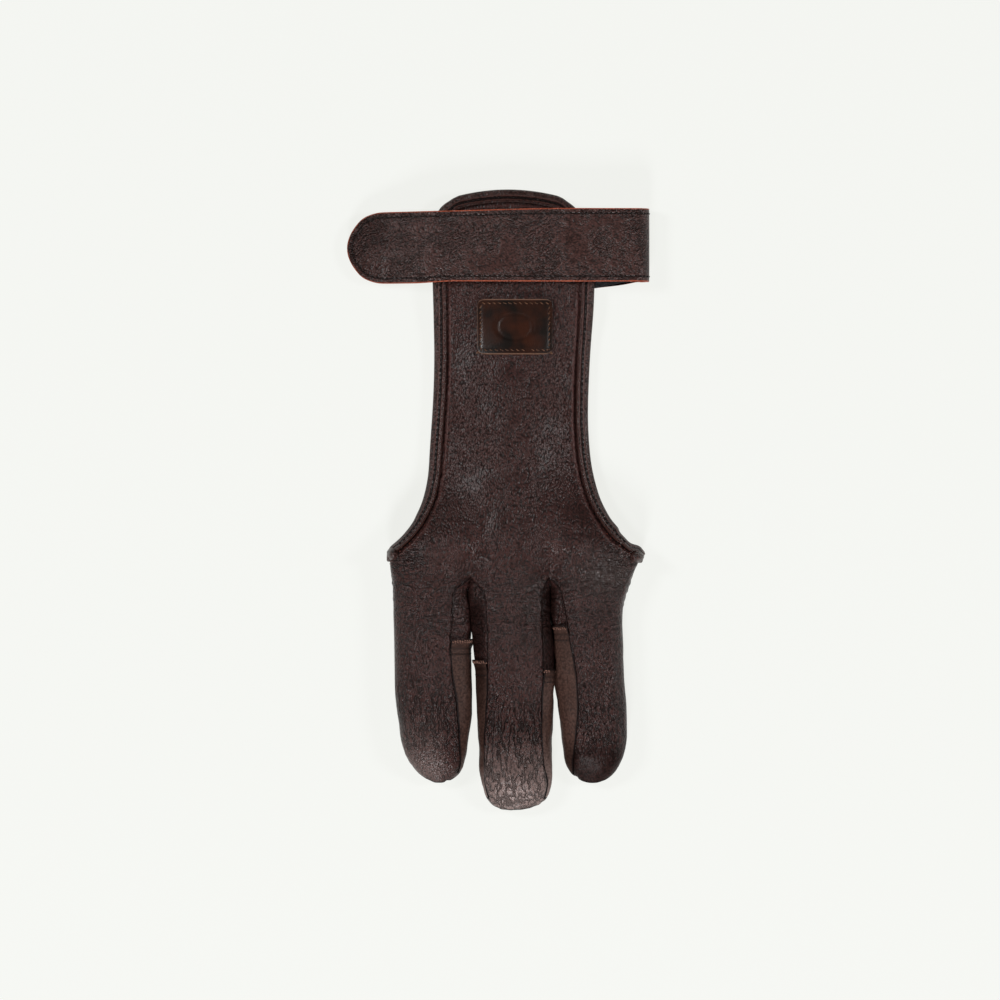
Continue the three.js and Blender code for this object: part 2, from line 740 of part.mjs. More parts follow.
// Path of the strap's outer face, depth millimetres inside it: from the free end over the
// panel, round the fold and back under the panel
const fastening = strapLeather + clearance + tapeThickness + clearance + hookThickness + clearance;
const crestHeight = backHeight(0, strapCentre) + fastening;
const foldHeight = 2 * (strapLeather + clearance + tapeThickness) + strapLoopGap;
const foldRadius = foldHeight / 2;
const foldCentre = strapFoldReach - foldRadius;
const upperLength = strapFreeReach + foldCentre;

function strapUpper(x, depth) {
  const at = (x + strapFreeReach) / upperLength;
  const full = mix(crestHeight, foldHeight, THREE.MathUtils.smoothstep(x, 0, foldCentre));
  return {
    x,
    z: full * readColumn(strapRise, at, "high") - depth,
    wide: readColumn(strapTaper, at, "wide"),
    shift: readColumn(strapTaper, at, "shift") * strapWidth,
  };
}

function strapFold(turn, depth) {
  const radius = foldRadius - depth;
  const x = foldCentre + radius * Math.sin(turn);
  return { x, z: foldRadius + radius * Math.cos(turn), wide: 1, shift: 0 };
}

function strapUnder(x, depth) {
  const back = foldCentre - x;
  const early = THREE.MathUtils.smoothstep(back, 0, slantStart.reach * strapWidth);
  const late = back / (foldCentre + strapSewnEnd);
  return { x, z: depth, wide: 1, shift: -strapUnderShift * mix(late, early, slantStart.share) };
}

function strapStations(freeEnd, sewnEnd, depth) {
  const stations = [];
  for (let i = 0; i < strapSteps; i += 1) {
    stations.push(strapUpper(mix(freeEnd, foldCentre, i / strapSteps), depth));
  }
  for (let i = 0; i <= foldSteps; i += 1) {
    stations.push(strapFold((Math.PI * i) / foldSteps, depth));
  }
  for (let i = 1; i <= underSteps; i += 1) {
    stations.push(strapUnder(mix(foldCentre, sewnEnd, i / underSteps), depth));
  }
  return stations;
}

function strapRows(freeEnd, sewnEnd, depth, width) {
  const round = width * strapUpper(freeEnd, depth).wide * 0.5;
  const across = Array.from({ length: strapColumns + 1 }, (_, i) => (2 * i) / strapColumns - 1);
  const rows = endArcs.map((arc, k) => {
    const edgeX = -Math.cos(arc) * round;
    const middleX = -endMiddles[k] * round;
    return across.map((v) => {
      const x = freeEnd + round + mix(middleX, edgeX, v * v);
      const station = strapUpper(x, depth);
      const y = strapCentre + station.shift - v * Math.sin(arc) * round;
      return new THREE.Vector3(x, y, station.z);
    });
  });
  for (const station of strapStations(freeEnd + round, sewnEnd, depth)) {
    rows.push(
      across.map((v) => {
        const y = strapCentre + station.shift - v * 0.5 * width * station.wide;
        return new THREE.Vector3(station.x, y, station.z);
      }),
    );
  }
  return rows;
}

// Patch that follows the back: rounded corners, its lower side one clearance above the leather
function patchGeometry(place, length, width, corner, thickness) {
  const lines = (half) => {
    const inner = half - corner;
    const steps = [-half, -half + cornerStep * corner, -inner, -inner / 2, 0];
    return [...steps, ...steps.slice(0, -1).map((value) => -value).reverse()];
  };
  const rows = lines(width / 2).map((y) =>
    lines(length / 2).map((x) => {
      const overX = Math.max(Math.abs(x) - (length / 2 - corner), 0);
      const overY = Math.max(Math.abs(y) - (width / 2 - corner), 0);
      const reach = Math.hypot(overX, overY);
      const pull = reach > corner ? corner / reach : 1;
      const px = place.x + x - Math.sign(x) * overX * (1 - pull);
      const py = place.y + y - Math.sign(y) * overY * (1 - pull);
      return new THREE.Vector3(px, py, backHeight(px, py) + clearance + thickness);
    }),
  );
  return gridSheet(rows, thickness);
}

// Materials
const pebbledLeather = new THREE.MeshStandardMaterial({ color: "#3b2c2b", roughness: 0.55, metalness: 0 });
const smoothLeather = new THREE.MeshStandardMaterial({ color: "#39292a", roughness: 0.42, metalness: 0 });
const bindingLeather = new THREE.MeshStandardMaterial({ color: "#362627", roughness: 0.5, metalness: 0 });
const strapSkin = new THREE.MeshStandardMaterial({ color: "#3a2a29", roughness: 0.5, metalness: 0 });
const blackTape = new THREE.MeshStandardMaterial({ color: "#121113", roughness: 0.9, metalness: 0 });
const labelLeather = new THREE.MeshStandardMaterial({ color: "#2e1d15", roughness: 0.35, metalness: 0 });

// Skin of the glove
buildCrotchRow();
fingers.forEach(buildFinger);
buildBack();
buildPalm();
const skinNormals = pointNormals(skinPoints, skinFaces);
const freeEdges = new Set(borderEdges(skinFaces).map((edge) => edge.join(">")));

function leatherPiece(name) {
  const faces = skinFaces.filter((face) => face.piece === name);
  const seams = borderEdges(faces).filter((edge) => !freeEdges.has(edge.join(">")));
  return sheet(skinPoints, skinNormals, faces, leather, seams);
}

const glove = new THREE.Group();

function addPiece(name, geometry, material) {
  const mesh = new THREE.Mesh(geometry, material);
  mesh.name = name;
  glove.add(mesh);
}

addPiece("back_leather", leatherPiece("back_leather"), pebbledLeather);
addPiece("palm_leather", leatherPiece("palm_leather"), pebbledLeather);
addPiece("side_wall_index_middle", leatherPiece("side_wall_index_middle"), pebbledLeather);
addPiece("side_wall_middle_ring", leatherPiece("side_wall_middle_ring"), pebbledLeather);
for (const finger of fingers) {
  addPiece(`tip_${finger.name}`, leatherPiece(`tip_${finger.name}`), smoothLeather);
}
addPiece("edge_binding", bindingGeometry(skinNormals), bindingLeather);

// Strap, its black tape, the hidden hook patch and the label
const strapPoints = strapRows(-strapFreeReach, -strapSewnEnd, 0, strapWidth);
addPiece("wrist_strap", gridSheet(strapPoints, strapLeather), strapSkin);

const tapeDepth = strapLeather + clearance;
const tapeUnderEnd = readColumn(backRows, strapCentre, "right") + bindingReach + 2 * clearance;
const tapePoints = strapRows(
  tapeEndInset - strapFreeReach,
  tapeUnderEnd,
  tapeDepth,
  strapWidth - 2 * tapeMargin,
);
addPiece("strap_tape", gridSheet(tapePoints, tapeThickness), blackTape);

const hookPlace = { x: hookShift, y: strapCentre };
addPiece(
  "hook_patch",
  patchGeometry(hookPlace, hookLength, hookWidth, hookCorner, hookThickness),
  blackTape,
);
addPiece(
  "label_patch",
  patchGeometry(labelPlace, labelLength, labelWidth, labelCorner, labelThickness),
  labelLeather,
);

// Origin in the middle of the footprint, on the table
const middleFinger = fingers[1];
glove.position.set((strapFreeReach - strapFoldReach) / 2, (middleFinger.length - backLength) / 2, 0);

export default glove;
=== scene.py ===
"""Three-finger archery glove of dark brown deer leather, lying palm down, seen from above."""

import math

import bpy
from mathutils import Matrix, Vector, noise
from mathutils.bvhtree import BVHTree


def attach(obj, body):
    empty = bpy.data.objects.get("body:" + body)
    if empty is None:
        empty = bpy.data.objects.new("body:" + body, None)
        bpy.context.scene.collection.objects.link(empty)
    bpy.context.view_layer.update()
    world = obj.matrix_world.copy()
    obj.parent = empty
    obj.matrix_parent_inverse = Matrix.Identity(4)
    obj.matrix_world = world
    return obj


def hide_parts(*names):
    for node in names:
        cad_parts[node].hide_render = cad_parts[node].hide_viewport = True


MM = 0.001

# Places and sizes in the part's own frame, in millimetres. A pixel of the render is 0.35 mm wide.
CROTCH_Y = -27.45
SLITS_X = (-9.0, 20.5)
TIP_START_Y = -75.0
PANEL_MIDDLE_X = 3.6
BACK_MIDDLE_Z = 3.4  # between the two faces of the back's leather, over the hand
FLOOR_GAP = 0.15
FINGER_AXES = {
    # name: (x at the crotch, x near the tip, y of the tip, height of the axis)
    "index": (-23.4, -21.4, -98.9, 5.6),
    "middle": (3.9, 6.4, -108.4, 5.8),
    "ring": (31.0, 33.0, -99.3, 5.5),
}
HEMS = {"index": -51.0, "middle": -59.0, "ring": -45.4}
BINDING_ENDS = ((-38.2, -20.8), (49.4, -20.8))
BINDING_END_REACH = 2.6
LOBE_REACH = 3
EAR_LOBES = {
    # side: (middle x and y, half its width along x and y) of the pad that each end is folded to
    "left": (-36.4, -19.0, 2.3, 2.5),
    "right": (48.0, -19.8, 3.0, 2.3),
}
# How far rows of stitches lie from the cut edge of their piece, or below the hem of a fingertip
STRAP_SEAM, BINDING_SEAM, LABEL_SEAM, EAR_SEAM = 1.7, 1.5, 1.5, 0.8
OVERCAST_SEAM, SECOND_SEAM = 0.5, 3.6
LABEL = (5.9, 60.25)
LABEL_CORNER = 2.4
OVAL = (6.4, 4.4)  # half its length and half its width
TIP_OUTLINES = {
    # name: (middle of the round end, its radii every 15 degrees from the left side round to the
    # right, angle of the notch where the seam ends)
    "index": (
        (-21.4, -88.5),
        (11.0, 10.2, 9.6, 9.5, 9.6, 9.9, 10.4, 10.6, 10.7, 10.7, 10.5, 10.2, 10.5),
        20,
    ),
    "middle": (
        (6.4, -98.0),
        (12.1, 11.8, 12.0, 12.0, 11.5, 10.8, 10.4, 10.5, 10.9, 11.7, 12.3, 12.3, 12.4),
        None,
    ),
    "ring": (
        (32.6, -89.0),
        (9.7, 9.6, 9.6, 9.7, 9.7, 9.9, 10.0, 10.1, 10.2, 10.2, 10.3, 10.6, 11.2),
        -33,
    ),
}
RADII_STEP = 15
NOTCH_DEPTH = 0.45

# Edges sharper than these angles are rounded over, or bound a sheet's cut edge
SEAM_ANGLE = math.radians(52)
RIM_ANGLE = math.radians(50)

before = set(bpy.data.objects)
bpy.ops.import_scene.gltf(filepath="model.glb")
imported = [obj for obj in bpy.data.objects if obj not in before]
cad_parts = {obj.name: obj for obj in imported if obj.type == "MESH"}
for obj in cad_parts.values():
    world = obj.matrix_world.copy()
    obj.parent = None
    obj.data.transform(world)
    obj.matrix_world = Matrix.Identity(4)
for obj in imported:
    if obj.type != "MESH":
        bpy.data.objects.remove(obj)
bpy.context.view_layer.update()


# Helpers for shape
def smooth(value, start, end):
    """0 before start, 1 after end, with a soft step between them."""
    t = min(max((value - start) / (end - start), 0.0), 1.0)
    return t * t * (3.0 - 2.0 * t)


def select_only(piece):
    bpy.ops.object.select_all(action="DESELECT")
    piece.select_set(True)
    bpy.context.view_layer.objects.active = piece


def soft_copy(node, name, seam_round, levels):
    """The solid of one leather piece with its cut edges rounded over and its faces made fine."""
    piece = bpy.data.objects.new(name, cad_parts[node].data.copy())
    bpy.context.scene.collection.objects.link(piece)
    piece.data.materials.clear()
    select_only(piece)
    bpy.ops.object.mode_set(mode="EDIT")
    bpy.ops.mesh.select_all(action="SELECT")
    bpy.ops.mesh.remove_doubles(threshold=0.002 * MM)
    flat_enough = math.radians(60)
    bpy.ops.mesh.tris_convert_to_quads(face_threshold=flat_enough, shape_threshold=flat_enough)
    bpy.ops.mesh.normals_make_consistent(inside=False)
    bpy.ops.mesh.select_all(action="DESELECT")
    bpy.ops.mesh.select_mode(type="EDGE")
    bpy.ops.mesh.edges_select_sharp(sharpness=SEAM_ANGLE)
    bpy.ops.mesh.bevel(offset=seam_round * MM, segments=2, affect="EDGES", clamp_overlap=True)
    bpy.ops.object.mode_set(mode="OBJECT")
    fine = piece.modifiers.new("fine", "SUBSURF")
    fine.levels = fine.render_levels = levels
    keep_to_corners(piece)
    bpy.ops.object.modifier_apply(modifier=fine.name)
    bpy.ops.object.shade_smooth()
    return piece


def keep_to_corners(piece):
    """Swells the mesh under a Subdivision Surface, until the smooth form nears its old corners."""
    places = [vertex.co.copy() for vertex in piece.data.vertices]
    rounded = {i for face in piece.data.polygons if face.select for i in face.vertices}
    for _ in range(3):
        smooth_form = piece.evaluated_get(bpy.context.evaluated_depsgraph_get())
        shape = smooth_form.to_mesh()
        drawn_in = [place - shape.vertices[i].co for i, place in enumerate(places)]
        smooth_form.to_mesh_clear()
        for i, pull in enumerate(drawn_in):
            piece.data.vertices[i].co += pull * (0.4 if i in rounded else 0.9)
        piece.data.update()


def merged(node):
    """Corners and triangles of a CAD node, with the corners that lie together made one."""
    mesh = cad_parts[node].data
    places, corner_of = {}, []
    for vertex in mesh.vertices:
        key = tuple(round(value, 7) for value in vertex.co)
        corner_of.append(places.setdefault(key, len(places)))
    points = [Vector(key) for key in places]
    mesh.calc_loop_triangles()
    triangles = [tuple(corner_of[i] for i in tri.vertices) for tri in mesh.loop_triangles]
    return points, triangles


def rim_tree(node, thickness):
    """Tree of the narrow faces along the cut edge of a sheet of that thickness (mm)."""
    points, triangles = merged(node)
    normals, users = [], {}
    for index, (a, b, c) in enumerate(triangles):
        normals.append((points[b] - points[a]).cross(points[c] - points[a]).normalized())
        for pair in ((a, b), (b, c), (c, a)):
            users.setdefault(frozenset(pair), []).append(index)
    rim = set()
    for pair, faces in users.items():
        if len(faces) != 2 or normals[faces[0]].dot(normals[faces[1]]) > math.cos(RIM_ANGLE):
            continue
        p, q = (points[i] for i in pair)
        for face in faces:
            area = (points[triangles[face][1]] - points[triangles[face][0]]).cross(
                points[triangles[face][2]] - points[triangles[face][0]]
            ).length
            if area / max((p - q).length, 1e-9) < thickness * 1.2 * MM:
                rim.add(face)
    return BVHTree.FromPolygons(points, [triangles[i] for i in rim], all_triangles=True)


def keep(piece, name, values):
    """Keeps one number for each point of a piece, for its material to read."""
    piece.data.attributes.new(name, "FLOAT", "POINT").data.foreach_set("value", values)


def measure(piece, name, tree, most=20.0):
    """Keeps how far each point lies from the faces of a tree, in mm."""
    values = []
    for vertex in piece.data.vertices:
        found = tree.find_nearest(vertex.co)
        values.append(min(found[3] / MM, most) if found[0] is not None else most)
    keep(piece, name, values)
    return values


def finger_axis(point):
    """Middle of the finger that a point belongs to, at the point's own distance along it."""
    y = point.y / MM
    nearest = None
    for root, tip, end, height in FINGER_AXES.values():
        along = min(max((CROTCH_Y - y) / (CROTCH_Y - end), 0.0), 1.0)
        x = root + (tip - root) * along
        if nearest is None or abs(point.x / MM - x) < abs(point.x / MM - nearest[0]):
            nearest = (x, height)
    return Vector((nearest[0] * MM, point.y, nearest[1] * MM))


def outward(point):
    """Direction away from the hollow of the glove."""
    on_hand = smooth(point.y / MM, CROTCH_Y - 7, CROTCH_Y + 5)
    away = point - finger_axis(point)
    away = away.normalized() if away.length > 1e-6 else Vector((0, 0, 1))
    flat = Vector((0, 0, 1 if point.z > BACK_MIDDLE_Z * MM else -1))
    return (away * (1 - on_hand) + flat * on_hand).normalized()


# Materials
def linear(colour):
    """An sRGB hex colour as the linear numbers that a shader takes."""
    values = [int(colour[i : i + 2], 16) / 255 for i in (1, 3, 5)]
    values = [v / 12.92 if v <= 0.04045 else ((v + 0.055) / 1.055) ** 2.4 for v in values]
    return (*values, 1.0)


def add(material, kind, inputs=None, **settings):
    """Adds a node, sets its settings, and links or sets its inputs."""
    tree = material.node_tree
    made = tree.nodes.new(kind)
    for key, value in settings.items():
        setattr(made, key, value)
    for socket, value in (inputs or {}).items():
        if isinstance(value, bpy.types.NodeSocket):
            tree.links.new(value, made.inputs[socket])
        else:
            made.inputs[socket].default_value = value
    return made


def new_material(name):
    material = bpy.data.materials.new(name)
    material.use_nodes = True
    material.node_tree.nodes.clear()
    return material


def line_at(m, value, at, half_width):
    """A soft line where a value equals at: -1 in its middle and 0 from half_width on."""
    off = add(m, "ShaderNodeMath", {0: value, 1: at}, operation="SUBTRACT").outputs[0]
    size = add(m, "ShaderNodeMath", {0: off}, operation="ABSOLUTE").outputs[0]
    return add(
        m, "ShaderNodeMapRange",
        {"Value": size, "From Min": 0.0, "From Max": half_width, "To Min": -1.0, "To Max": 0.0},
        interpolation_type="SMOOTHSTEP",
    ).outputs[0]


def creases(m, where, turn, across, along, fineness):
    """Thin wandering creases, turned from the Y axis, across apart and along long in mm."""
    turned = add(
        m, "ShaderNodeMapping",
        {"Vector": where, "Rotation": (0, 0, turn), "Scale": (across, along, across)},
        vector_type="TEXTURE",
    ).outputs[0]
    value = add(m, "ShaderNodeTexNoise", {"Vector": turned, "Scale": 1.0, "Detail": 2.0}).outputs[0]
    return line_at(m, value, 0.5, fineness)


# Sizes in a hide, in millimetres: the wander that bends its grain and how far it bends it, the
# patches where the grain stands higher, and the soft waves under it
WANDER_SIZE, WANDER = 4.5, 1.6
PATCH_SIZE = 11
WAVE_SIZE = 3.0
# A pale sheen, painted, over leather partly worn pale
WORN_PALE_SHEEN = "#88746f"
# Painted shade, for the slits, the ring fingertip and the strap's shaded parts
PAINTED_SHADE_DARK = "#0b0504"


def leather(
    name, dark, light, grain, grain_high, gloss, stretch=(1.0, 1.0), shine=0.2, folds=0.12,
    slant=None, worn=(), pebbles=(), grooves=(), edges=(),
):
    """Tanned leather: rounded grains with sharp valleys, soft folds, and a dull shine on top.

    Sizes are in millimetres. grain is a grain's width, and stretch its share of it along X and Y;
    slant gives one set of fine creases (turn, across, along, deep) in patches; worn gives creases
    that a point attribute masks (attribute, across x, along y, deep), and pebbles coarse grains in
    the same way (attribute, size, high); the creases and the hollows between pebbles are painted
    darker as shade. grooves are sewn-in lines (attribute, at, half width, deep), raised where deep
    is below 0, and painted darker as shade where sunk and lighter as a highlight where raised;
    edges colour what lies near a cut edge (attribute, distance, colour). Two more attributes act on
    all of it: flattened takes the grain down, and wear runs from -1, painted shade, to 1, leather
    partly worn pale and partly painted with a pale sheen, and shinier.
    """
    m = new_material(name)
    where = add(m, "ShaderNodeTexCoord").outputs["Object"]
    in_mm = add(m, "ShaderNodeVectorMath", {0: where, 3: 1 / MM}, operation="SCALE").outputs[0]
    wander = add(m, "ShaderNodeTexNoise", {"Vector": in_mm, "Scale": 1 / WANDER_SIZE, "Detail": 2.0})
    push = add(
        m, "ShaderNodeVectorMath",
        {0: wander.outputs["Color"], 1: (0.5, 0.5, 0.5)}, operation="SUBTRACT",
    )
    bent = add(
        m, "ShaderNodeVectorMath",
        {0: push.outputs[0], 1: (WANDER, WANDER, WANDER), 2: in_mm}, operation="MULTIPLY_ADD",
    ).outputs[0]
    grown = add(
        m, "ShaderNodeMapping",
        {"Vector": bent, "Scale": (grain * stretch[0], grain * stretch[1], grain)},
        vector_type="TEXTURE",
    ).outputs[0]
    cells = add(m, "ShaderNodeTexVoronoi", {"Vector": grown, "Scale": 1.0})
    from_middle = cells.outputs["Distance"]
    hollow = add(m, "ShaderNodeMath", {0: from_middle, 1: from_middle}, operation="MULTIPLY").outputs[0]
    domes = add(m, "ShaderNodeMath", {0: hollow, 1: -2.2, 2: 1.0}, operation="MULTIPLY_ADD").outputs[0]
    patches = add(
        m, "ShaderNodeTexNoise", {"Vector": in_mm, "Scale": 1 / PATCH_SIZE, "Detail": 3.0}
    ).outputs[0]
    raised = add(
        m, "ShaderNodeMapRange",
        {"Value": patches, "From Min": 0.32, "From Max": 0.66, "To Min": 0.4, "To Max": 1.15},
    ).outputs[0]
    pressed = add(m, "ShaderNodeAttribute", attribute_name="flattened").outputs["Fac"]
    standing = add(m, "ShaderNodeMath", {0: 1.0, 1: pressed}, operation="SUBTRACT").outputs[0]
    share = add(m, "ShaderNodeMath", {0: raised, 1: standing}, operation="MULTIPLY").outputs[0]
    pores = add(m, "ShaderNodeTexNoise", {"Vector": grown, "Scale": 1.1, "Detail": 1.0}).outputs[0]
    grains = add(m, "ShaderNodeMath", {0: pores, 1: 1.6, 2: domes}, operation="MULTIPLY_ADD").outputs[0]
    standing_grains = add(m, "ShaderNodeMath", {0: grains, 1: share}, operation="MULTIPLY").outputs[0]
    waves = add(
        m, "ShaderNodeTexNoise", {"Vector": bent, "Scale": 1 / WAVE_SIZE, "Detail": 3.0}
    ).outputs[0]

    # Pairs of a value and its share: heights add up in mm, tones to light and dark. The tones of
    # creases, of hollows between pebbles and of sunk lines are painted shade; of raised lines, a
    # painted highlight
    heights = [(standing_grains, grain_high), (waves, folds * 3)]
    tones = [(domes, 0.6), (pores, 1.6), (patches, 0.6)]
    if slant:
        turn, across, along, deep = slant
        lines = creases(m, bent, turn, across, along, 0.14)
        here = add(
            m, "ShaderNodeMapRange", {"Value": patches, "From Min": 0.44, "From Max": 0.56}
        ).outputs[0]
        lines = add(m, "ShaderNodeMath", {0: lines, 1: here}, operation="MULTIPLY").outputs[0]
        heights.append((lines, deep))
        tones.append((lines, 0.5))
    for attribute, across, along, deep in worn:
        mask = add(m, "ShaderNodeAttribute", attribute_name=attribute).outputs["Fac"]
        lines = creases(m, bent, 0.0, across, along, 0.07)
        lines = add(m, "ShaderNodeMath", {0: lines, 1: mask}, operation="MULTIPLY").outputs[0]
        heights.append((lines, deep))
        tones.append((lines, 1.0))
    for attribute, size, high in pebbles:
        mask = add(m, "ShaderNodeAttribute", attribute_name=attribute).outputs["Fac"]
        stones = add(
            m, "ShaderNodeTexVoronoi", {"Vector": bent, "Scale": 1 / size}, feature="SMOOTH_F1"
        )
        low = add(
            m, "ShaderNodeMath", {0: stones.outputs["Distance"], 1: mask}, operation="MULTIPLY"
        ).outputs[0]
        heights.append((low, -high))
        tones.append((low, -1.5))
    for attribute, at, half_width, deep in grooves:
        value = add(m, "ShaderNodeAttribute", attribute_name=attribute).outputs["Fac"]
        line = line_at(m, value, at, half_width)
        heights.append((line, deep))
        tones.append((line, 1.6 if deep > 0 else -0.9))
    height = tone = 0.0
    for value, factor in heights:
        height = add(
            m, "ShaderNodeMath", {0: value, 1: factor, 2: height}, operation="MULTIPLY_ADD"
        ).outputs[0]
    for value, factor in tones:
        tone = add(
            m, "ShaderNodeMath", {0: value, 1: factor, 2: tone}, operation="MULTIPLY_ADD"
        ).outputs[0]

    bump = add(m, "ShaderNodeBump", {"Height": height, "Strength": 1.0, "Distance": MM}).outputs[0]
    shade = add(m, "ShaderNodeMapRange", {"Value": tone, "From Min": 0.9, "From Max": 2.0}).outputs[0]
    colour = add(
        m, "ShaderNodeMix", {0: shade, 6: linear(dark), 7: linear(light)}, data_type="RGBA"
    ).outputs[2]
    wear_sheen_and_shade = add(m, "ShaderNodeAttribute", attribute_name="wear_sheen_and_shade").outputs["Fac"]
    # Painted pale sheen over leather partly worn pale: it lands first on the tops of the grains
    tops = add(m, "ShaderNodeMath", {0: shade, 1: 0.65, 2: 0.35}, operation="MULTIPLY_ADD").outputs[0]
    sheen_share = add(m, "ShaderNodeMath", {0: wear_sheen_and_shade, 1: tops}, operation="MULTIPLY", use_clamp=True).outputs[0]
    painted_shade_share = add(m, "ShaderNodeMath", {0: wear_sheen_and_shade, 1: -0.8}, operation="MULTIPLY", use_clamp=True).outputs[0]
    colour = add(
        m, "ShaderNodeMix", {0: sheen_share, 6: colour, 7: linear(WORN_PALE_SHEEN)}, data_type="RGBA"
    ).outputs[2]
    for attribute, distance, edge_colour in edges:
        value = add(m, "ShaderNodeAttribute", attribute_name=attribute).outputs["Fac"]
        near = add(
            m, "ShaderNodeMapRange",
            {
                "Value": value, "From Min": distance * 0.6, "From Max": distance,
                "To Min": 1.0, "To Max": 0.0,
            },
        ).outputs[0]
        colour = add(
            m, "ShaderNodeMix", {0: near, 6: colour, 7: linear(edge_colour)}, data_type="RGBA"
        ).outputs[2]
    # Painted shade where the wear attribute is below 0
    colour = add(
        m, "ShaderNodeMix", {0: painted_shade_share, 6: colour, 7: linear(PAINTED_SHADE_DARK)}, data_type="RGBA"
    ).outputs[2]
    rubbed_or_shaded = add(m, "ShaderNodeMath", {0: wear_sheen_and_shade, 1: wear_sheen_and_shade}, operation="MULTIPLY").outputs[0]
    rough = add(
        m, "ShaderNodeMath", {0: rubbed_or_shaded, 1: 0.12, 2: gloss + 0.08}, operation="MULTIPLY_ADD"
    ).outputs[0]
    glint = add(
        m, "ShaderNodeMapRange",
        {"Value": wear_sheen_and_shade, "From Min": -1.0, "From Max": 1.0, "To Min": 0.0, "To Max": shine * 1.8},
    ).outputs[0]
    shader = add(
        m, "ShaderNodeBsdfPrincipled",
        {"Base Color": colour, "Roughness": rough, "Normal": bump, "Specular IOR Level": glint},
    )
    add(m, "ShaderNodeOutputMaterial", {"Surface": shader.outputs[0]})
    return m


# A wave texture's bands lie 0.63 of its unit apart: the plies show a ridge each 1.0 mm
PLY_UNIT = 1.6


def thread(name, colour, shade):
    """Bonded nylon thread: two plies that wind round each other, with a slight wax shine."""
    m = new_material(name)
    where = add(m, "ShaderNodeTexCoord").outputs["Object"]
    plies = add(
        m, "ShaderNodeTexWave", {"Vector": where, "Scale": 1 / (PLY_UNIT * MM), "Distortion": 1.0},
        bands_direction="DIAGONAL",
    )
    winding = plies.outputs["Fac"]
    mixed = add(
        m, "ShaderNodeMix", {0: winding, 6: linear(shade), 7: linear(colour)}, data_type="RGBA"
    ).outputs[2]
    bump = add(m, "ShaderNodeBump", {"Height": winding, "Distance": 0.06 * MM}).outputs[0]
    shader = add(
        m, "ShaderNodeBsdfPrincipled",
        {"Base Color": mixed, "Roughness": 0.65, "Normal": bump, "Specular IOR Level": 0.2},
    )
    add(m, "ShaderNodeOutputMaterial", {"Surface": shader.outputs[0]})
    return m


def fastening_tape(name, dark, light, pile):
    """Woven nylon fastening tape: a dull black pile of loops or hooks, pile millimetres apart.

    The fuzz between them, single fibres, is drawn 0.4 mm coarse so that it shows.
    """
    m = new_material(name)
    where = add(m, "ShaderNodeTexCoord").outputs["Object"]
    loops = add(m, "ShaderNodeTexVoronoi", {"Vector": where, "Scale": 1 / (pile * MM)})
    fuzz = add(m, "ShaderNodeTexNoise", {"Vector": where, "Scale": 1 / (0.4 * MM), "Detail": 4.0})
    height = add(
        m, "ShaderNodeMath", {0: loops.outputs["Distance"], 1: fuzz.outputs[0]}, operation="ADD"
    ).outputs[0]
    bump = add(m, "ShaderNodeBump", {"Height": height, "Distance": 0.35 * MM}).outputs[0]
    mixed = add(
        m, "ShaderNodeMix", {0: fuzz.outputs[0], 6: linear(dark), 7: linear(light)}, data_type="RGBA"
    ).outputs[2]
    shader = add(
        m, "ShaderNodeBsdfPrincipled",
        {
            "Base Color": mixed, "Roughness": 0.9, "Normal": bump,
            "Sheen Weight": 0.3, "Sheen Tint": linear("#55585c"),
        },
    )
    add(m, "ShaderNodeOutputMaterial", {"Surface": shader.outputs[0]})
    return m


def label_finish(name):
    """Waxed, pressed calf leather with a cut edge left natural: tan rim, glossy dark field.

    The wax lies in clouds 7 mm wide. Calf's pores, too fine to show, are drawn 0.5 mm coarse.
    """
    m = new_material(name)
    where = add(m, "ShaderNodeTexCoord").outputs["Object"]
    clouds = add(m, "ShaderNodeTexNoise", {"Vector": where, "Scale": 1 / (7 * MM), "Detail": 3.0})
    pores = add(m, "ShaderNodeTexNoise", {"Vector": where, "Scale": 1 / (0.5 * MM), "Detail": 3.0})
    field = add(
        m, "ShaderNodeMapRange", {"Value": clouds.outputs[0], "From Min": 0.35, "From Max": 0.68}
    ).outputs[0]
    brown = add(
        m, "ShaderNodeMix", {0: field, 6: linear("#120b08"), 7: linear("#30160b")}, data_type="RGBA"
    ).outputs[2]
    edge = add(m, "ShaderNodeAttribute", attribute_name="rim").outputs["Fac"]
    near = add(
        m, "ShaderNodeMapRange",
        {"Value": edge, "From Min": 0.25, "From Max": 0.5, "To Min": 1.0, "To Max": 0.0},
    ).outputs[0]
    colour = add(
        m, "ShaderNodeMix", {0: near, 6: brown, 7: linear("#634331")}, data_type="RGBA"
    ).outputs[2]
    bump = add(m, "ShaderNodeBump", {"Height": pores.outputs[0], "Distance": 0.05 * MM}).outputs[0]
    rough = add(m, "ShaderNodeMapRange", {"Value": near, "To Min": 0.26, "To Max": 0.7}).outputs[0]
    shader = add(
        m, "ShaderNodeBsdfPrincipled", {"Base Color": colour, "Roughness": rough, "Normal": bump}
    )
    add(m, "ShaderNodeOutputMaterial", {"Surface": shader.outputs[0]})
    return m


# The grain of each hide below is drawn about two pixels wide, the finest that shows in the render.
# The pores between the grains are really finer than that, and are drawn as coarse as the grains.

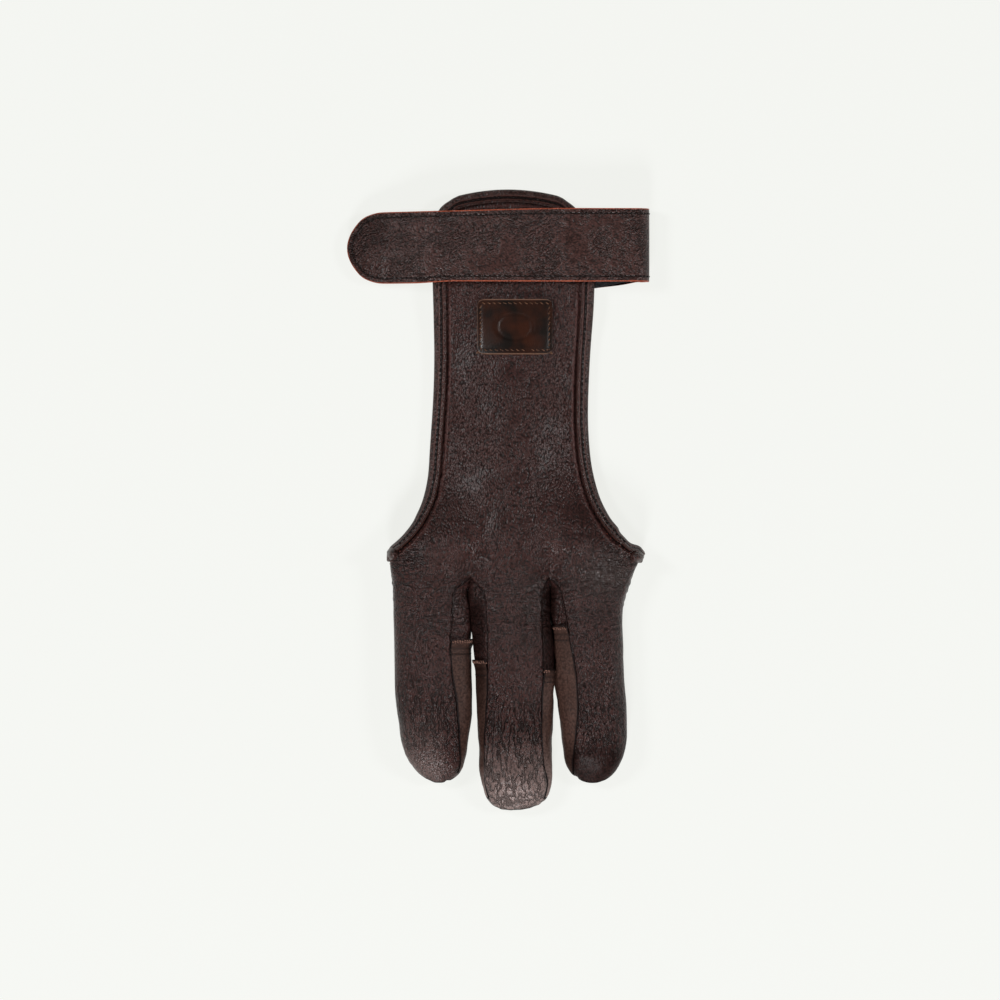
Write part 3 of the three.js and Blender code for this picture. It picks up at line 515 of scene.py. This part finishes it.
# Deerskin, dyed dark brown, grain side out: stretched pebbles with dark valleys and dull tops that
# glint, long and short creases where it folds, and big shiny pebbles where it is pulled. The creases
# and the hollows between the big pebbles are painted darker as shade, and the ridge beside the
# binding lighter as a highlight.
pebbled = leather(
    "pebbled_deerskin", "#190e0c", "#412825", grain=0.74, grain_high=0.12, gloss=0.27,
    stretch=(0.84, 1.3), shine=0.22,
    worn=(("long_folds", 1.9, 8.0, 0.6), ("cross_folds", 6.0, 1.6, 0.4)),
    pebbles=(("pulled", 1.9, 1.5),), grooves=(("bound", 1.4, 0.6, -0.1),),
    edges=(("rim", 0.3, "#1d100e"),),
)
# Cowhide, buffed and pressed smooth: a paler, even and matt brown with two sunk rows at the hem,
# painted darker as shade
smooth_hide = leather(
    "smooth_tip_leather", "#30201b", "#4a342d", grain=0.8, grain_high=0.04, gloss=0.45, shine=0.16,
    folds=0.05, grooves=(("hem", 1.9, 0.4, 0.15), ("hem", SECOND_SEAM, 0.5, 0.12)),
    edges=(("rim", 0.45, "#150c0b"),),
)
# Thin deerskin strip, folded and sewn tight: a sunk row of stitches, painted darker as shade,
# between two raised, shiny rolls painted lighter as highlights
bound = leather(
    "folded_binding_leather", "#170c0a", "#482f2b", grain=0.75, grain_high=0.14, gloss=0.27,
    shine=0.3, folds=0.06,
    grooves=(
        ("rim", BINDING_SEAM, 0.5, 0.32), ("rim", 0.8, 0.4, -0.28), ("rim", 2.3, 0.45, -0.2),
    ),
    edges=(("rim", 0.16, "#35201c"),),
)
# Thicker deerskin cut to a strap: fine slanted creases and a sunk row of stitches, both painted
# darker as shade, and a cut edge of a rusty red
strap_hide = leather(
    "strap_leather", "#20120f", "#4f3430", grain=0.68, grain_high=0.14, gloss=0.26, shine=0.3,
    stretch=(1.25, 0.95), slant=(math.radians(-50), 0.9, 3.6, 0.3),
    grooves=(("rim", STRAP_SEAM, 0.45, 0.16),), edges=(("rim", 0.3, "#93462f"),),
)
# Bonded nylon threads, each dyed a colour of its own, dull and slightly waxy
brown_thread = thread("dark_nylon_thread", "#120907", "#060303")
red_thread = thread("reddish_nylon_thread", "#6a2f22", "#2a1512")
hem_thread = thread("brown_nylon_thread", "#7b594d", "#35221c")
tan_thread = thread("tan_waxed_thread", "#644431", "#2e1d15")
# Nylon tape, dyed black. Its loops are finer than a pixel, and are drawn 0.9 mm apart.
loop_pile = fastening_tape("black_loop_tape", "#08080a", "#1b1b1e", pile=0.9)
hook_pile = fastening_tape("black_hook_tape", "#0a0a0c", "#202023", pile=1.4)
# Calf leather, waxed and pressed: it shines most of all pieces, in soft brown clouds
label_hide = label_finish("waxed_label_leather")


# The glove's own leather
def lengthwise_wrinkles(x, y, z):
    """Long pinched wrinkles that run toward the fingertips, from -1 to 1."""
    wander = 0.8 * noise.noise(Vector((x / 7, y / 9, z / 7)))
    value = noise.noise(Vector((x / 2.4 + wander, y / 13, z / 2.6 + 7)))
    return 1 - 2.6 * abs(value)


def relief(point, bound_distance):
    """How far the worn leather stands out from its even form, in mm.

    The numbers that divide a place are the lengths, in mm, of the swells along x, y and z.
    """
    x, y, z = point.x / MM, point.y / MM, point.z / MM
    lift = smooth(z, 0.6, 3.5)
    free = smooth(bound_distance, 0.4, 6.0)
    clear_of_strap = 1 - smooth(y, 60, 72)
    total = 0.35 * noise.noise(Vector((x / 17, y / 23, z / 17))) * free * clear_of_strap
    total += 0.2 * noise.noise(Vector((x / 6, y / 6, z / 6 + 3))) * free * clear_of_strap
    on_finger = smooth(-y, -CROTCH_Y + 3, -CROTCH_Y + 16)
    total += 0.26 * long_folds(point) * lengthwise_wrinkles(x, y, z)
    total += 0.3 * cross_folds(point) * noise.noise(Vector((x / 9, y / 2.6, z / 6)))
    total += 0.16 * on_finger * noise.noise(Vector((x / 4.5, y / 8, z / 4.5 + 11)))
    return total * lift


def long_folds(point):
    """Where the leather is pinched lengthwise: near the fingertips, most of all the middle one."""
    x, y = point.x / MM, point.y / MM
    if -9 < x < 21:
        return smooth(-y, 62, 84)
    return 0.6 * smooth(-y, 58, 74) * (1 - smooth(-y, 82, 94))


def cross_folds(point):
    """Where short folds run across: at the roots of the fingers and above the two crotches."""
    x, y = point.x / MM, point.y / MM
    root = smooth(-y, 20, 30) * (1 - smooth(-y, 44, 58))
    ears = smooth(abs(x - 5) / 40, 0.62, 0.95) * smooth(-y, 10, 18) * (1 - smooth(-y, 30, 36))
    return max(0.35 * root, 0.7 * ears)


KNUCKLE_FOLDS = (
    # start x, y, end x, y, half width and depth of each fold; the one below 0 is a ridge
    (16.8, -27.4, 23.8, -21.0, 0.9, 0.7),
    (18.5, -28.5, 29.0, -22.5, 1.2, 0.25),
    (-4.6, -27.2, 2.8, -23.4, 0.9, 0.5),
    (-16.8, -28.6, -13.0, -24.2, 1.2, -0.4),
    (10.0, -33.5, 16.0, -28.5, 1.2, 0.3),
    (30.0, -21.5, 44.0, -25.0, 1.2, 0.35),
    (33.0, -27.0, 45.0, -30.5, 1.0, 0.25),
)


def crease(point):
    """Depth in mm of the folds where the back of the hand turns into the fingers."""
    x, y = point.x / MM, point.y / MM
    depth = 0.0
    for ax, ay, bx, by, width, deep in KNUCKLE_FOLDS:
        along = Vector((bx - ax, by - ay))
        t = min(max((Vector((x - ax, y - ay)).dot(along)) / along.length_squared, 0.0), 1.0)
        off = (Vector((x - ax, y - ay)) - along * t).length
        fading = math.sin(math.pi * min(max(t, 0.08), 0.92))
        depth += deep * math.exp(-((off / width) ** 2)) * fading
    return depth


def rubbed_sheen_and_shade(point):
    """Painted pale sheen, partly real wear, at two fingertips and by the ear. Painted shade below 0."""
    x, y, _ = point / MM
    if x > 21 and y < -60:
        return -0.7 * smooth(-y, 82, 91)
    if -9 < x < 21:
        return 0.85 * smooth(-y, 80, 106) + 0.15 * pulled(point)
    if x < -9:
        return 0.28 * smooth(-y, 70, 94) * (1 - smooth(x, -24, -16))
    return 0.22 * pulled(point)


def slit_shade(point):
    """How far shade from the slits beside the middle finger is painted onto the leather."""
    x, y, _ = point / MM
    left = smooth(x, -9.8, -8.4) * (1 - smooth(x, -5.4, -3.8)) * smooth(-y, 31, 38)
    right = smooth(x, 12.5, 17.0) * (1 - smooth(x, 19.2, 20.2)) * smooth(-y, 29, 34)
    index_side = 0.14 * smooth(-y, 50, 54) * (1 - smooth(x, -10.5, -9.5))
    left *= 1 - 0.5 * smooth(-y, 60, 80)
    right *= 1 - smooth(-y, 56, 64)
    return 0.8 * left + 0.8 * right + index_side


def pulled(point):
    """Where the leather is pulled into coarse grains: right ear and root of the middle finger."""
    x, y, _ = point / MM
    ear = math.exp(-(((x - 38) / 9) ** 2) - ((y + 26) / 7) ** 2)
    root = 0.5 * math.exp(-(((x - 12) / 5) ** 2) - ((y + 36) / 7) ** 2)
    return ear + root


def flattened(point):
    """How far the grain is pressed flat, at the fingers' ends. Below 0 it stands up more."""
    x, y, _ = point / MM
    on_fingers = -0.5 * smooth(-y, 26, 42)
    if x > 20.5:
        return on_fingers + 1.3 * smooth(-y, 80, 91)
    return on_fingers + 0.75 * smooth(-y, 80, 98)


def slide(x, y, z):
    """Sideways shift in mm that lays the finger seams where they run."""
    high = smooth(z, 2.0, 5.0)
    index_seam = -1.4 * math.exp(-(((x + 14.4) / 3.2) ** 2))
    index_seam = index_seam * smooth(-y, 27, 34) * (1 - smooth(-y, 84, 96))
    ring_seam = 1.4 * math.exp(-(((x - 20.5 - 0.1 * min(-y - 28, 60)) / 3.2) ** 2))
    ring_seam *= smooth(-y, 26, 30) * (1 - smooth(-y, 56, 84))
    return high * (index_seam + ring_seam)


CLOSINGS = (
    # (x of the slit, y of the slit's start), then (distance down from y 0, shift of each wall)
    (
        (-10.0, -28.0),
        ((28, 0.0), (30, 0.72), (32, 0.52), (34, 0.35), (38, 0.2), (46, 0.2), (62, 0.4), (82, 0.0)),
    ),
    (
        (18.9, -40.0),
        ((40, 0.0), (46, 0.1), (50, 0.35), (56, 0.4), (61, 0.6), (67, 0.6), (80, 0.0)),
    ),
)


def closing(x, y):
    """Sideways shift in mm that lets the walls of neighbouring fingers lie against each other."""
    (slit, start), steps = CLOSINGS[0 if x < 4 else 1]
    if y > start or -y >= steps[-1][0]:
        return 0.0
    for (first, low), (second, high) in zip(steps, steps[1:]):
        if first <= -y < second:
            amount = low + (high - low) * (-y - first) / (second - first)
    return amount * (1 - smooth(abs(x - slit), 1.5, 4.5)) * (1 if x < slit else -1)


def hem_slope(x, y):
    """Shift in mm along a finger that lays the hems of the index and middle tips aslant."""
    if x < -9.5:
        return math.exp(-(((y - HEMS["index"]) / 7) ** 2))
    if x < 20.5:
        return (1.8 - 3.1 * smooth(x, 0, 10)) * math.exp(-(((y - HEMS["middle"]) / 7) ** 2))
    return 0.0


def crown(x, y):
    """Shift in mm that rounds the shoulders of the panel's end above the strap."""
    return -(0.3 + 0.85 * smooth(abs(x - PANEL_MIDDLE_X), 17, 21)) * smooth(y, 90, 98)


def ear_bend(x, y):
    """Shift in mm along x and y that makes the edge beside the right ear one even curve."""
    if x < 36:
        return 0.0, 0.0
    near = smooth(x, 36, 41) * math.exp(-(((y + 10.5) / 3) ** 2))
    beyond = math.exp(-(((x - 46) / 2.2) ** 2)) * smooth(y, -20, -16)
    return 0.8 * near, -1.0 * beyond


class TipOutline:
    """Draws the round end of one finger out or in, to its outline as seen from above.

    Angles are in degrees round the middle of the end, from -90 at its left side to 90.
    """

    def __init__(self, centre, radii, notch, tree):
        self.centre = centre
        self.radii = radii
        self.notch = notch
        self.shares = [self.target(angle) / self.reach(tree, angle) for angle in range(-90, 91, 2)]

    def target(self, angle):
        """Radius in mm that the outline has at an angle."""
        step = (angle + 90) / RADII_STEP
        low = min(int(step), len(self.radii) - 2)
        t = step - low
        t = t * t * (3 - 2 * t)
        radius = self.radii[low] * (1 - t) + self.radii[low + 1] * t
        if self.notch is None:
            return radius
        return radius - NOTCH_DEPTH * math.exp(-(((angle - self.notch) / 4) ** 2))

    def reach(self, tree, angle):
        """Radius in mm that the leather has there, the largest of all heights."""
        turn = math.radians(angle)
        way = Vector((math.sin(turn), -math.cos(turn), 0.0))
        reaches = []
        for height in range(1, 24):
            start = Vector((*self.centre, height / 2)) + way * (self.target(angle) + 1)
            found = tree.ray_cast(start * MM, -way, 11 * MM)
            if found[0] is not None:
                reaches.append(self.target(angle) + 1 - found[3] / MM)
        return max(reaches)

    def moved(self, x, y):
        """Where a point goes. The change fades out over 9 mm above the middle of the end."""
        cx, cy = self.centre
        below = cy - y
        turn = max(min(math.degrees(math.atan2(x - cx, max(below, 0.001))), 90), -90)
        step = (turn + 90) / 2
        low = min(int(step), len(self.shares) - 2)
        share = self.shares[low] * (1 - (step - low)) + self.shares[low + 1] * (step - low)
        if below > 0:
            share = min(share, self.target(turn) / max(math.hypot(x - cx, below), 0.001))
            return cx + (x - cx) * share, cy - below * share
        share = 1 + (share - 1) * smooth(below, -9, 0)
        return cx + (x - cx) * share, y


binding_ends = rim_tree("edge_binding", 1.0)
SHELLS = {
    # node: name of the piece
    "back_leather": "glove_back", "palm_leather": "glove_palm",
    "side_wall_index_middle": "wall_index_middle", "side_wall_middle_ring": "wall_middle_ring",
    "tip_index": "fingertip_index", "tip_middle": "fingertip_middle", "tip_ring": "fingertip_ring",
}
shells = {node: soft_copy(node, name, 0.3, levels=2) for node, name in SHELLS.items()}
shell_points, shell_faces = [], []
for shell in shells.values():
    first = len(shell_points)
    shell_faces += [tuple(i + first for i in face.vertices) for face in shell.data.polygons]
    shell_points += [vertex.co.copy() for vertex in shell.data.vertices]
shell_tree = BVHTree.FromPolygons(shell_points, shell_faces)
tip_outlines = {name: TipOutline(*shape, shell_tree) for name, shape in TIP_OUTLINES.items()}


PUCKER_PITCH = 2.5
# The edge of a fingertip's leather, which laps over its neighbour: how wide and how far up it lies
LAP_REACH = 2.4
LAP_SHIFT = 1.1


def leather_piece(node, material, seam, hem=None):
    """One piece of the glove's own leather: rounded seams and a worn surface.

    seam is how far its surface stands out (mm) just beside its seams, and hem is where its own
    upper edge lies, which is then lapped over the leather above it.
    """
    piece = shells[node]
    rim_distances = measure(piece, "rim", rim_tree(node, 1.2))
    bound_distances = measure(piece, "bound", binding_ends, most=40.0)
    names = ("long_folds", "cross_folds", "pulled", "wear_sheen_and_shade", "flattened", "hem")
    masks = {name: [] for name in names}
    for i, vertex in enumerate(piece.data.vertices):
        rim_distance, bound_distance = rim_distances[i], bound_distances[i]
        place = vertex.co.copy()
        x, y, z = place / MM
        away = outward(place)
        masks["long_folds"].append(long_folds(place))
        masks["cross_folds"].append(cross_folds(place))
        # Painted on: a pale sheen at the tips and by the ear, shade in the slits and on the ring tip
        shade = 0.0 if node == "back_leather" else slit_shade(place)
        masks["wear_sheen_and_shade"].append(rubbed_sheen_and_shade(place) - shade)
        masks["pulled"].append(pulled(place))
        masks["flattened"].append(flattened(place))
        amount = relief(place, bound_distance)
        if z > 5:
            amount -= crease(place)
        # The back's leather rolls up beside a seam, and puckers along it
        beside_seam = math.exp(-(((rim_distance - 0.8) / 0.7) ** 2)) * smooth(bound_distance, 2, 4)
        fades = (94, 100) if SLITS_X[0] < x < SLITS_X[1] else (84, 90)
        beside_seam *= 1 - 0.85 * smooth(-y, *fades)
        pucker = 1 + 0.45 * math.sin(y * 2 * math.pi / PUCKER_PITCH)
        amount += seam * beside_seam * pucker * smooth(z, 1.0, 3.0)
        if node == "back_leather" and z > BACK_MIDDLE_Z:
            ridge = 0.7 * math.exp(-(((bound_distance - 1.5) / 0.7) ** 2))
            amount += ridge * (1 - smooth(y, 66, 70))
        # The walls of two neighbouring fingers swell until they lie against each other
        closed_from, closed_to, swell = 30.4, 48, 0.5
        if x > 4:
            closed_from, closed_to, swell = 26, 67, 0.36 + 0.32 * smooth(-y, 42, 50)
        between = smooth(-y, closed_from, closed_from + 2.6)
        between *= 1 - smooth(-y, closed_to - 6, closed_to)
        if abs(away.z) < 0.75 and abs(x - 5) < 22:
            amount += swell * between * smooth(z, 0.8, 3.0)
        below_hem = 20.0 if hem is None else hem - y
        masks["hem"].append(below_hem)
        if below_hem < LAP_REACH:
            lap = 1 - smooth(below_hem, 0.9, LAP_REACH)
            raised = 0.4 if vertex.normal.dot(away) > 0 else 0.9
            amount += raised * lap * smooth(z, 0.8, 2.5)
            y += LAP_SHIFT * lap
        x += slide(x, y, z) + closing(x, y)
        shift_x, shift_y = ear_bend(x, y)
        x += shift_x
        y += hem_slope(x, y) + crown(x, y) + shift_y
        if y < TIP_START_Y:
            finger = "index" if x < SLITS_X[0] else "middle" if x < SLITS_X[1] else "ring"
            x, y = tip_outlines[finger].moved(x, y)
            evens = (95, 101) if finger == "middle" else (86, 92)
            amount *= 1 - 0.75 * smooth(-y, *evens) * (1 - abs(away.z))
        vertex.co = Vector((x, y, z)) * MM + away * amount * MM
        vertex.co.z = max(vertex.co.z, 0.0)
    for mask, values in masks.items():
        keep(piece, mask, values)
    piece.data.materials.append(material)
    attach(piece, "root")
    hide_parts(node)
    return piece


back = leather_piece("back_leather", pebbled, seam=0.36)
palm = leather_piece("palm_leather", pebbled, seam=-0.1)
wall_index = leather_piece("side_wall_index_middle", pebbled, seam=-0.15)
wall_ring = leather_piece("side_wall_middle_ring", pebbled, seam=-0.15)
caps = {}
for finger, hem in HEMS.items():
    caps[finger] = leather_piece(f"tip_{finger}", smooth_hide, seam=-0.1, hem=hem)


def trim_piece(node, name, material, thickness, seam_round, levels=2):
    """A strip or patch that is sewn on: rounded edges and its distance from the cut edge."""
    piece = soft_copy(node, name, seam_round, levels)
    measure(piece, "rim", rim_tree(node, thickness))
    piece.data.materials.append(material)
    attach(piece, "root")
    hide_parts(node)
    return piece


binding = trim_piece("edge_binding", "binding", bound, 1.0, 0.22, levels=3)
# Its two ends are rounded over, as a folded strip that is sewn shut
select_only(binding)
bpy.ops.object.mode_set(mode="EDIT")
bpy.ops.mesh.select_all(action="DESELECT")
bpy.ops.object.mode_set(mode="OBJECT")
for vertex in binding.data.vertices:
    place = vertex.co / MM
    vertex.select = any(
        (place - Vector((*end, place.z))).length < BINDING_END_REACH for end in BINDING_ENDS
    )
bpy.ops.object.mode_set(mode="EDIT")
bpy.ops.mesh.vertices_smooth(factor=0.5, repeat=90)
bpy.ops.object.mode_set(mode="OBJECT")
for vertex in binding.data.vertices:
    x, y, _ = vertex.co / MM
    shift_x, shift_y = ear_bend(x, y)
    vertex.co.x += shift_x * MM
    vertex.co.y += (shift_y + crown(x, y)) * MM
# A plump pad on each end stands for the fold of the strip there
for side, (x, y, half_x, half_y) in EAR_LOBES.items():
    heights = []
    for vertex in binding.data.vertices:
        if math.hypot(vertex.co.x / MM - x, vertex.co.y / MM - y) < LOBE_REACH:
            heights.append(vertex.co.z)
    low, high = min(heights), max(heights)
    bpy.ops.object.select_all(action="DESELECT")
    bpy.ops.mesh.primitive_uv_sphere_add(segments=32, ring_count=20, radius=MM)
    lobe = bpy.context.object
    lobe.name = f"binding_fold_{side}"
    bpy.ops.object.mode_set(mode="EDIT")
    bpy.ops.mesh.select_all(action="SELECT")
    bpy.ops.transform.resize(value=(half_x, half_y, 0.5 * (high - low) / MM + 0.6))
    bpy.ops.transform.translate(value=(x * MM, y * MM, 0.5 * (low + high) + 0.35 * MM))
    bpy.ops.object.mode_set(mode="OBJECT")
    bpy.ops.object.shade_smooth()
    keep(lobe, "rim", [20.0] * len(lobe.data.vertices))
    lobe.data.materials.append(bound)
    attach(lobe, "root")
strap = trim_piece("wrist_strap", "strap", strap_hide, 1.5, 0.3, levels=3)
tape = trim_piece("strap_tape", "strap_loop_tape", loop_pile, 1.0, 0.25)
trim_piece("hook_patch", "hook_tape_patch", hook_pile, 1.0, 0.25)
label = trim_piece("label_patch", "label", label_hide, 1.1, 0.3, levels=3)

# The strap's upper edge and free end lie a little lower than the solid's, and its hidden half a
# little higher. That half is painted dark as shade where it shows under the fold, and the free end
# is painted a little darker as shade, and duller.
for piece in (strap, tape):
    wear_sheen_and_shade = []
    for vertex in piece.data.vertices:
        x, y, z = vertex.co / MM
        shift = -0.7 * max(smooth(y, 84, 100), 1 - smooth(x, -30, -15))
        hidden = z < 4 and x > -33
        if hidden:
            shift = 1.0 - smooth(x, 34, 47) + shift * smooth(x, 44, 52)
        vertex.co.y += shift * MM
        # Painted shade under the fold and toward the free end
        if hidden:
            wear_sheen_and_shade.append(-1.25 if 28 < x < 49 and z > 0.3 else 0.0)
        else:
            wear_sheen_and_shade.append(-0.35 * (1 - smooth(x, -50, -16)))
    keep(piece, "wear_sheen_and_shade", wear_sheen_and_shade)

# Label: field pressed below its sewn margin, with a plain oval pressed into it
half_wide, half_long = (0.5 * side / MM for side in label.dimensions.xy)
rim_values = []
for vertex in label.data.vertices:
    x, y = vertex.co.x / MM - LABEL[0], vertex.co.y / MM - LABEL[1]
    inward = (half_wide - LABEL_CORNER - abs(x), half_long - LABEL_CORNER - abs(y))
    edge_distance = LABEL_CORNER + min(inward)
    if max(inward) < 0:
        edge_distance = LABEL_CORNER - math.hypot(*inward)
    rim_values.append(edge_distance)
    press = 0.07 * math.exp(-(((edge_distance - LABEL_SEAM) / 0.5) ** 2))
    ring = math.hypot(x / OVAL[0], y / OVAL[1]) - 1.0
    press += 0.4 * math.exp(-((ring / 0.08) ** 2)) + 0.12 * smooth(-ring, 0.0, 0.3)
    if edge_distance > 0.4:
        vertex.co.z -= press * MM
label.data.attributes["rim"].data.foreach_set("value", rim_values)


# Stitching
def contour(piece, attribute, value):
    """Lines on a piece along which a point attribute has one value, as [(place, normal), ...]."""
    mesh = piece.data
    values = [0.0] * len(mesh.vertices)
    mesh.attributes[attribute].data.foreach_get("value", values)
    crossings, links = {}, {}
    for face in mesh.polygons:
        cut = []
        for a, b in face.edge_keys:
            if (values[a] < value) == (values[b] < value):
                continue
            t = (value - values[a]) / (values[b] - values[a])
            first, second = mesh.vertices[a], mesh.vertices[b]
            crossings[(a, b)] = (first.co.lerp(second.co, t), first.normal.lerp(second.normal, t))
            cut.append((a, b))
        if len(cut) == 2:
            links.setdefault(cut[0], []).append(cut[1])
            links.setdefault(cut[1], []).append(cut[0])
    lines, seen = [], set()
    for start in sorted(links, key=lambda key: len(links[key])):
        if start in seen:
            continue
        line, here = [], start
        while here is not None and here not in seen:
            seen.add(here)
            line.append(crossings[here])
            here = next((other for other in links[here] if other not in seen), None)
        if len(links[start]) == 2 and len(line) > 2:
            line.append(line[0])
        lines.append(line)
    return lines


def evenly(line, pitch):
    """Places along a line, pitch millimetres apart: (place, direction, normal)."""
    spots, carried = [], 0.0
    for (start, n_start), (end, n_end) in zip(line, line[1:]):
        step = (end - start).length
        if step < 1e-9:
            continue
        at = pitch * MM - carried
        while at <= step:
            normal = n_start.lerp(n_end, at / step)
            spots.append((start.lerp(end, at / step), (end - start) / step, normal))
            at += pitch * MM
        carried = (carried + step) % (pitch * MM)
    return spots


def thread_stitch(length, width, turn=0.0):
    """One stitch along X at the origin: a plump thread whose ends dive into the leather."""
    bpy.ops.object.select_all(action="DESELECT")
    bpy.ops.mesh.primitive_uv_sphere_add(segments=8, ring_count=6, radius=0.5 * MM)
    stitch = bpy.context.object
    bpy.ops.object.mode_set(mode="EDIT")
    bpy.ops.mesh.select_all(action="SELECT")
    bpy.ops.transform.resize(value=(length, width, width * 0.9))
    bpy.ops.transform.rotate(value=turn, orient_axis="Z", center_override=(0, 0, 0))
    bpy.ops.object.mode_set(mode="OBJECT")
    for vertex in stitch.data.vertices:
        reach = abs(vertex.co.x) / (0.5 * length * MM)
        vertex.co.z -= 0.28 * width * MM * reach**3
    return stitch


LOWEST_THREAD = 0.08  # how far a thread may lie below the underside of the glove
solid_points, solid_faces = [], []
covers = "back_leather palm_leather edge_binding wrist_strap strap_tape label_patch"
for node in covers.split():
    node_points, node_faces = merged(node)
    solid_faces += [tuple(i + len(solid_points) for i in face) for face in node_faces]
    solid_points += node_points
solids = BVHTree.FromPolygons(solid_points, solid_faces, all_triangles=True)


def in_the_open(place, normal):
    """Whether nothing lies close over that side of the leather."""
    return solids.ray_cast(place + normal * 0.45 * MM, normal, 1.7 * MM)[0] is None


def sew(name, piece, row_at, stitch, material, pitch, lift, wanted=in_the_open):
    """Copies one stitch along a piece, where its attribute has a value, and joins the copies.

    The stitches lie pitch millimetres apart and lift millimetres above the leather.
    """
    copies = []
    for line in contour(piece, *row_at):
        for place, along, normal in evenly(line, pitch):
            if not wanted(place, normal):
                continue
            side = normal.cross(along).normalized()
            up = along.cross(side).normalized()
            turn = Matrix((along, side, up)).transposed().to_4x4()
            copy = stitch.copy()
            copy.data = stitch.data.copy()
            copy.data.transform(Matrix.Translation(place + up * lift * MM) @ turn)
            below = -LOWEST_THREAD * MM - min(vertex.co.z for vertex in copy.data.vertices)
            if below > 0:
                copy.data.transform(Matrix.Translation((0, 0, below)))
            bpy.context.scene.collection.objects.link(copy)
            copies.append(copy)
    bpy.data.objects.remove(stitch)
    bpy.ops.object.select_all(action="DESELECT")
    for copy in copies:
        copy.select_set(True)
    row = copies[0]
    bpy.context.view_layer.objects.active = row
    bpy.ops.object.join()
    row.name = name
    row.data.materials.clear()
    row.data.materials.append(material)
    bpy.ops.object.shade_smooth()
    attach(row, "root")


def clear_of_the_lobes(place, normal):
    """Whether a stitch lies in the open, away from the pads on the binding's ends."""
    x, y, _ = place / MM
    return in_the_open(place, normal) and all(
        math.hypot(x - lobe[0], y - lobe[1]) > 3.6 for lobe in EAR_LOBES.values()
    )


def near_the_ears(place, normal):
    """Whether a stitch lies in the open, in the stretch beside the two ears."""
    return place.y < -9 * MM and in_the_open(place, normal)


def on_outer_side(place, normal):
    """Whether that side of a finger's leather faces away from the hollow."""
    return (place - finger_axis(place)).dot(normal) > 0


sew(
    "strap_stitches", strap, ("rim", STRAP_SEAM), thread_stitch(length=1.0, width=0.5),
    brown_thread, pitch=1.75, lift=0.03,
)
sew(
    "binding_stitches", binding, ("rim", BINDING_SEAM), thread_stitch(length=1.1, width=0.6),
    brown_thread, pitch=1.75, lift=0.02, wanted=clear_of_the_lobes,
)
sew(
    "ear_stitches", back, ("bound", EAR_SEAM), thread_stitch(length=0.8, width=0.36),
    red_thread, pitch=2.1, lift=0.03, wanted=near_the_ears,
)
sew(
    "label_stitches", label, ("rim", LABEL_SEAM), thread_stitch(length=1.5, width=0.46, turn=0.45),
    tan_thread, pitch=1.85, lift=0.04,
)
for finger, cap in caps.items():
    sew(
        f"overcast_{finger}", cap, ("hem", OVERCAST_SEAM),
        thread_stitch(length=1.5, width=0.6, turn=1.25),
        hem_thread, pitch=0.95, lift=0.06, wanted=on_outer_side,
    )
    sew(
        f"second_row_{finger}", cap, ("hem", SECOND_SEAM), thread_stitch(length=0.8, width=0.36),
        brown_thread, pitch=1.2, lift=-0.04, wanted=on_outer_side,
    )


# Floor, light and camera
def paper(name, colour, glow):
    """Seamless studio paper, matt and very pale, lit so evenly that it seems to glow.

    Its tooth, too fine to show, is drawn 1.5 mm coarse.
    """
    m = new_material(name)
    where = add(m, "ShaderNodeTexCoord").outputs["Object"]
    tooth = add(m, "ShaderNodeTexNoise", {"Vector": where, "Scale": 1 / (1.5 * MM), "Detail": 2.0})
    bump = add(m, "ShaderNodeBump", {"Height": tooth.outputs[0], "Distance": 0.01 * MM}).outputs[0]
    shader = add(
        m, "ShaderNodeBsdfPrincipled",
        {
            "Base Color": linear("#58595a"), "Roughness": 1.0, "Specular IOR Level": 0.0,
            "Normal": bump, "Emission Color": linear(colour), "Emission Strength": glow,
        },
    )
    add(m, "ShaderNodeOutputMaterial", {"Surface": shader.outputs[0]})
    return m


bpy.ops.object.select_all(action="DESELECT")
bpy.ops.mesh.primitive_plane_add(size=6.0, location=(0, 0, -FLOOR_GAP * MM))
floor = bpy.context.object
floor.name = "floor"
floor.data.materials.append(paper("studio_paper", "#f4f5f0", 0.875))

world = bpy.data.worlds.new("studio")
bpy.context.scene.world = world
world.use_nodes = True
sky = world.node_tree.nodes["Background"]
sky.inputs["Color"].default_value = linear("#f2f3f4")
sky.inputs["Strength"].default_value = 0.08


def soft_box(name, place, size, power):
    """A large square lamp that faces the middle of the glove: size in metres, power in watts."""
    lamp = bpy.data.lights.new(name, "AREA")
    lamp.shape = "SQUARE"
    lamp.size = size
    lamp.energy = power
    holder = bpy.data.objects.new(name, lamp)
    holder.location = place
    holder.rotation_euler = (-Vector(place)).to_track_quat("-Z", "Y").to_euler()
    bpy.context.scene.collection.objects.link(holder)


soft_box("lamp_at_the_fingers", (-0.12, -1.3, 0.8), 0.35, 22)
soft_box("lamp_right", (1.1, 0.1, 0.9), 0.3, 10)
soft_box("lamp_upper_left", (-1.0, 0.4, 1.1), 0.35, 13)

# The camera looks straight down from 2 m, on a square of 350 mm
HEIGHT = 2.0
VIEW_WIDTH = 0.350
camera_data = bpy.data.cameras.new("camera")
camera_data.sensor_width = 36.0
camera_data.lens = 36.0 * HEIGHT / VIEW_WIDTH
camera_data.clip_end = 20.0
camera = bpy.data.objects.new("camera", camera_data)
camera.location = (0.7 * MM, -0.2 * MM, HEIGHT)
bpy.context.scene.collection.objects.link(camera)
bpy.context.scene.camera = camera
bpy.context.scene.view_settings.view_transform = "Standard"
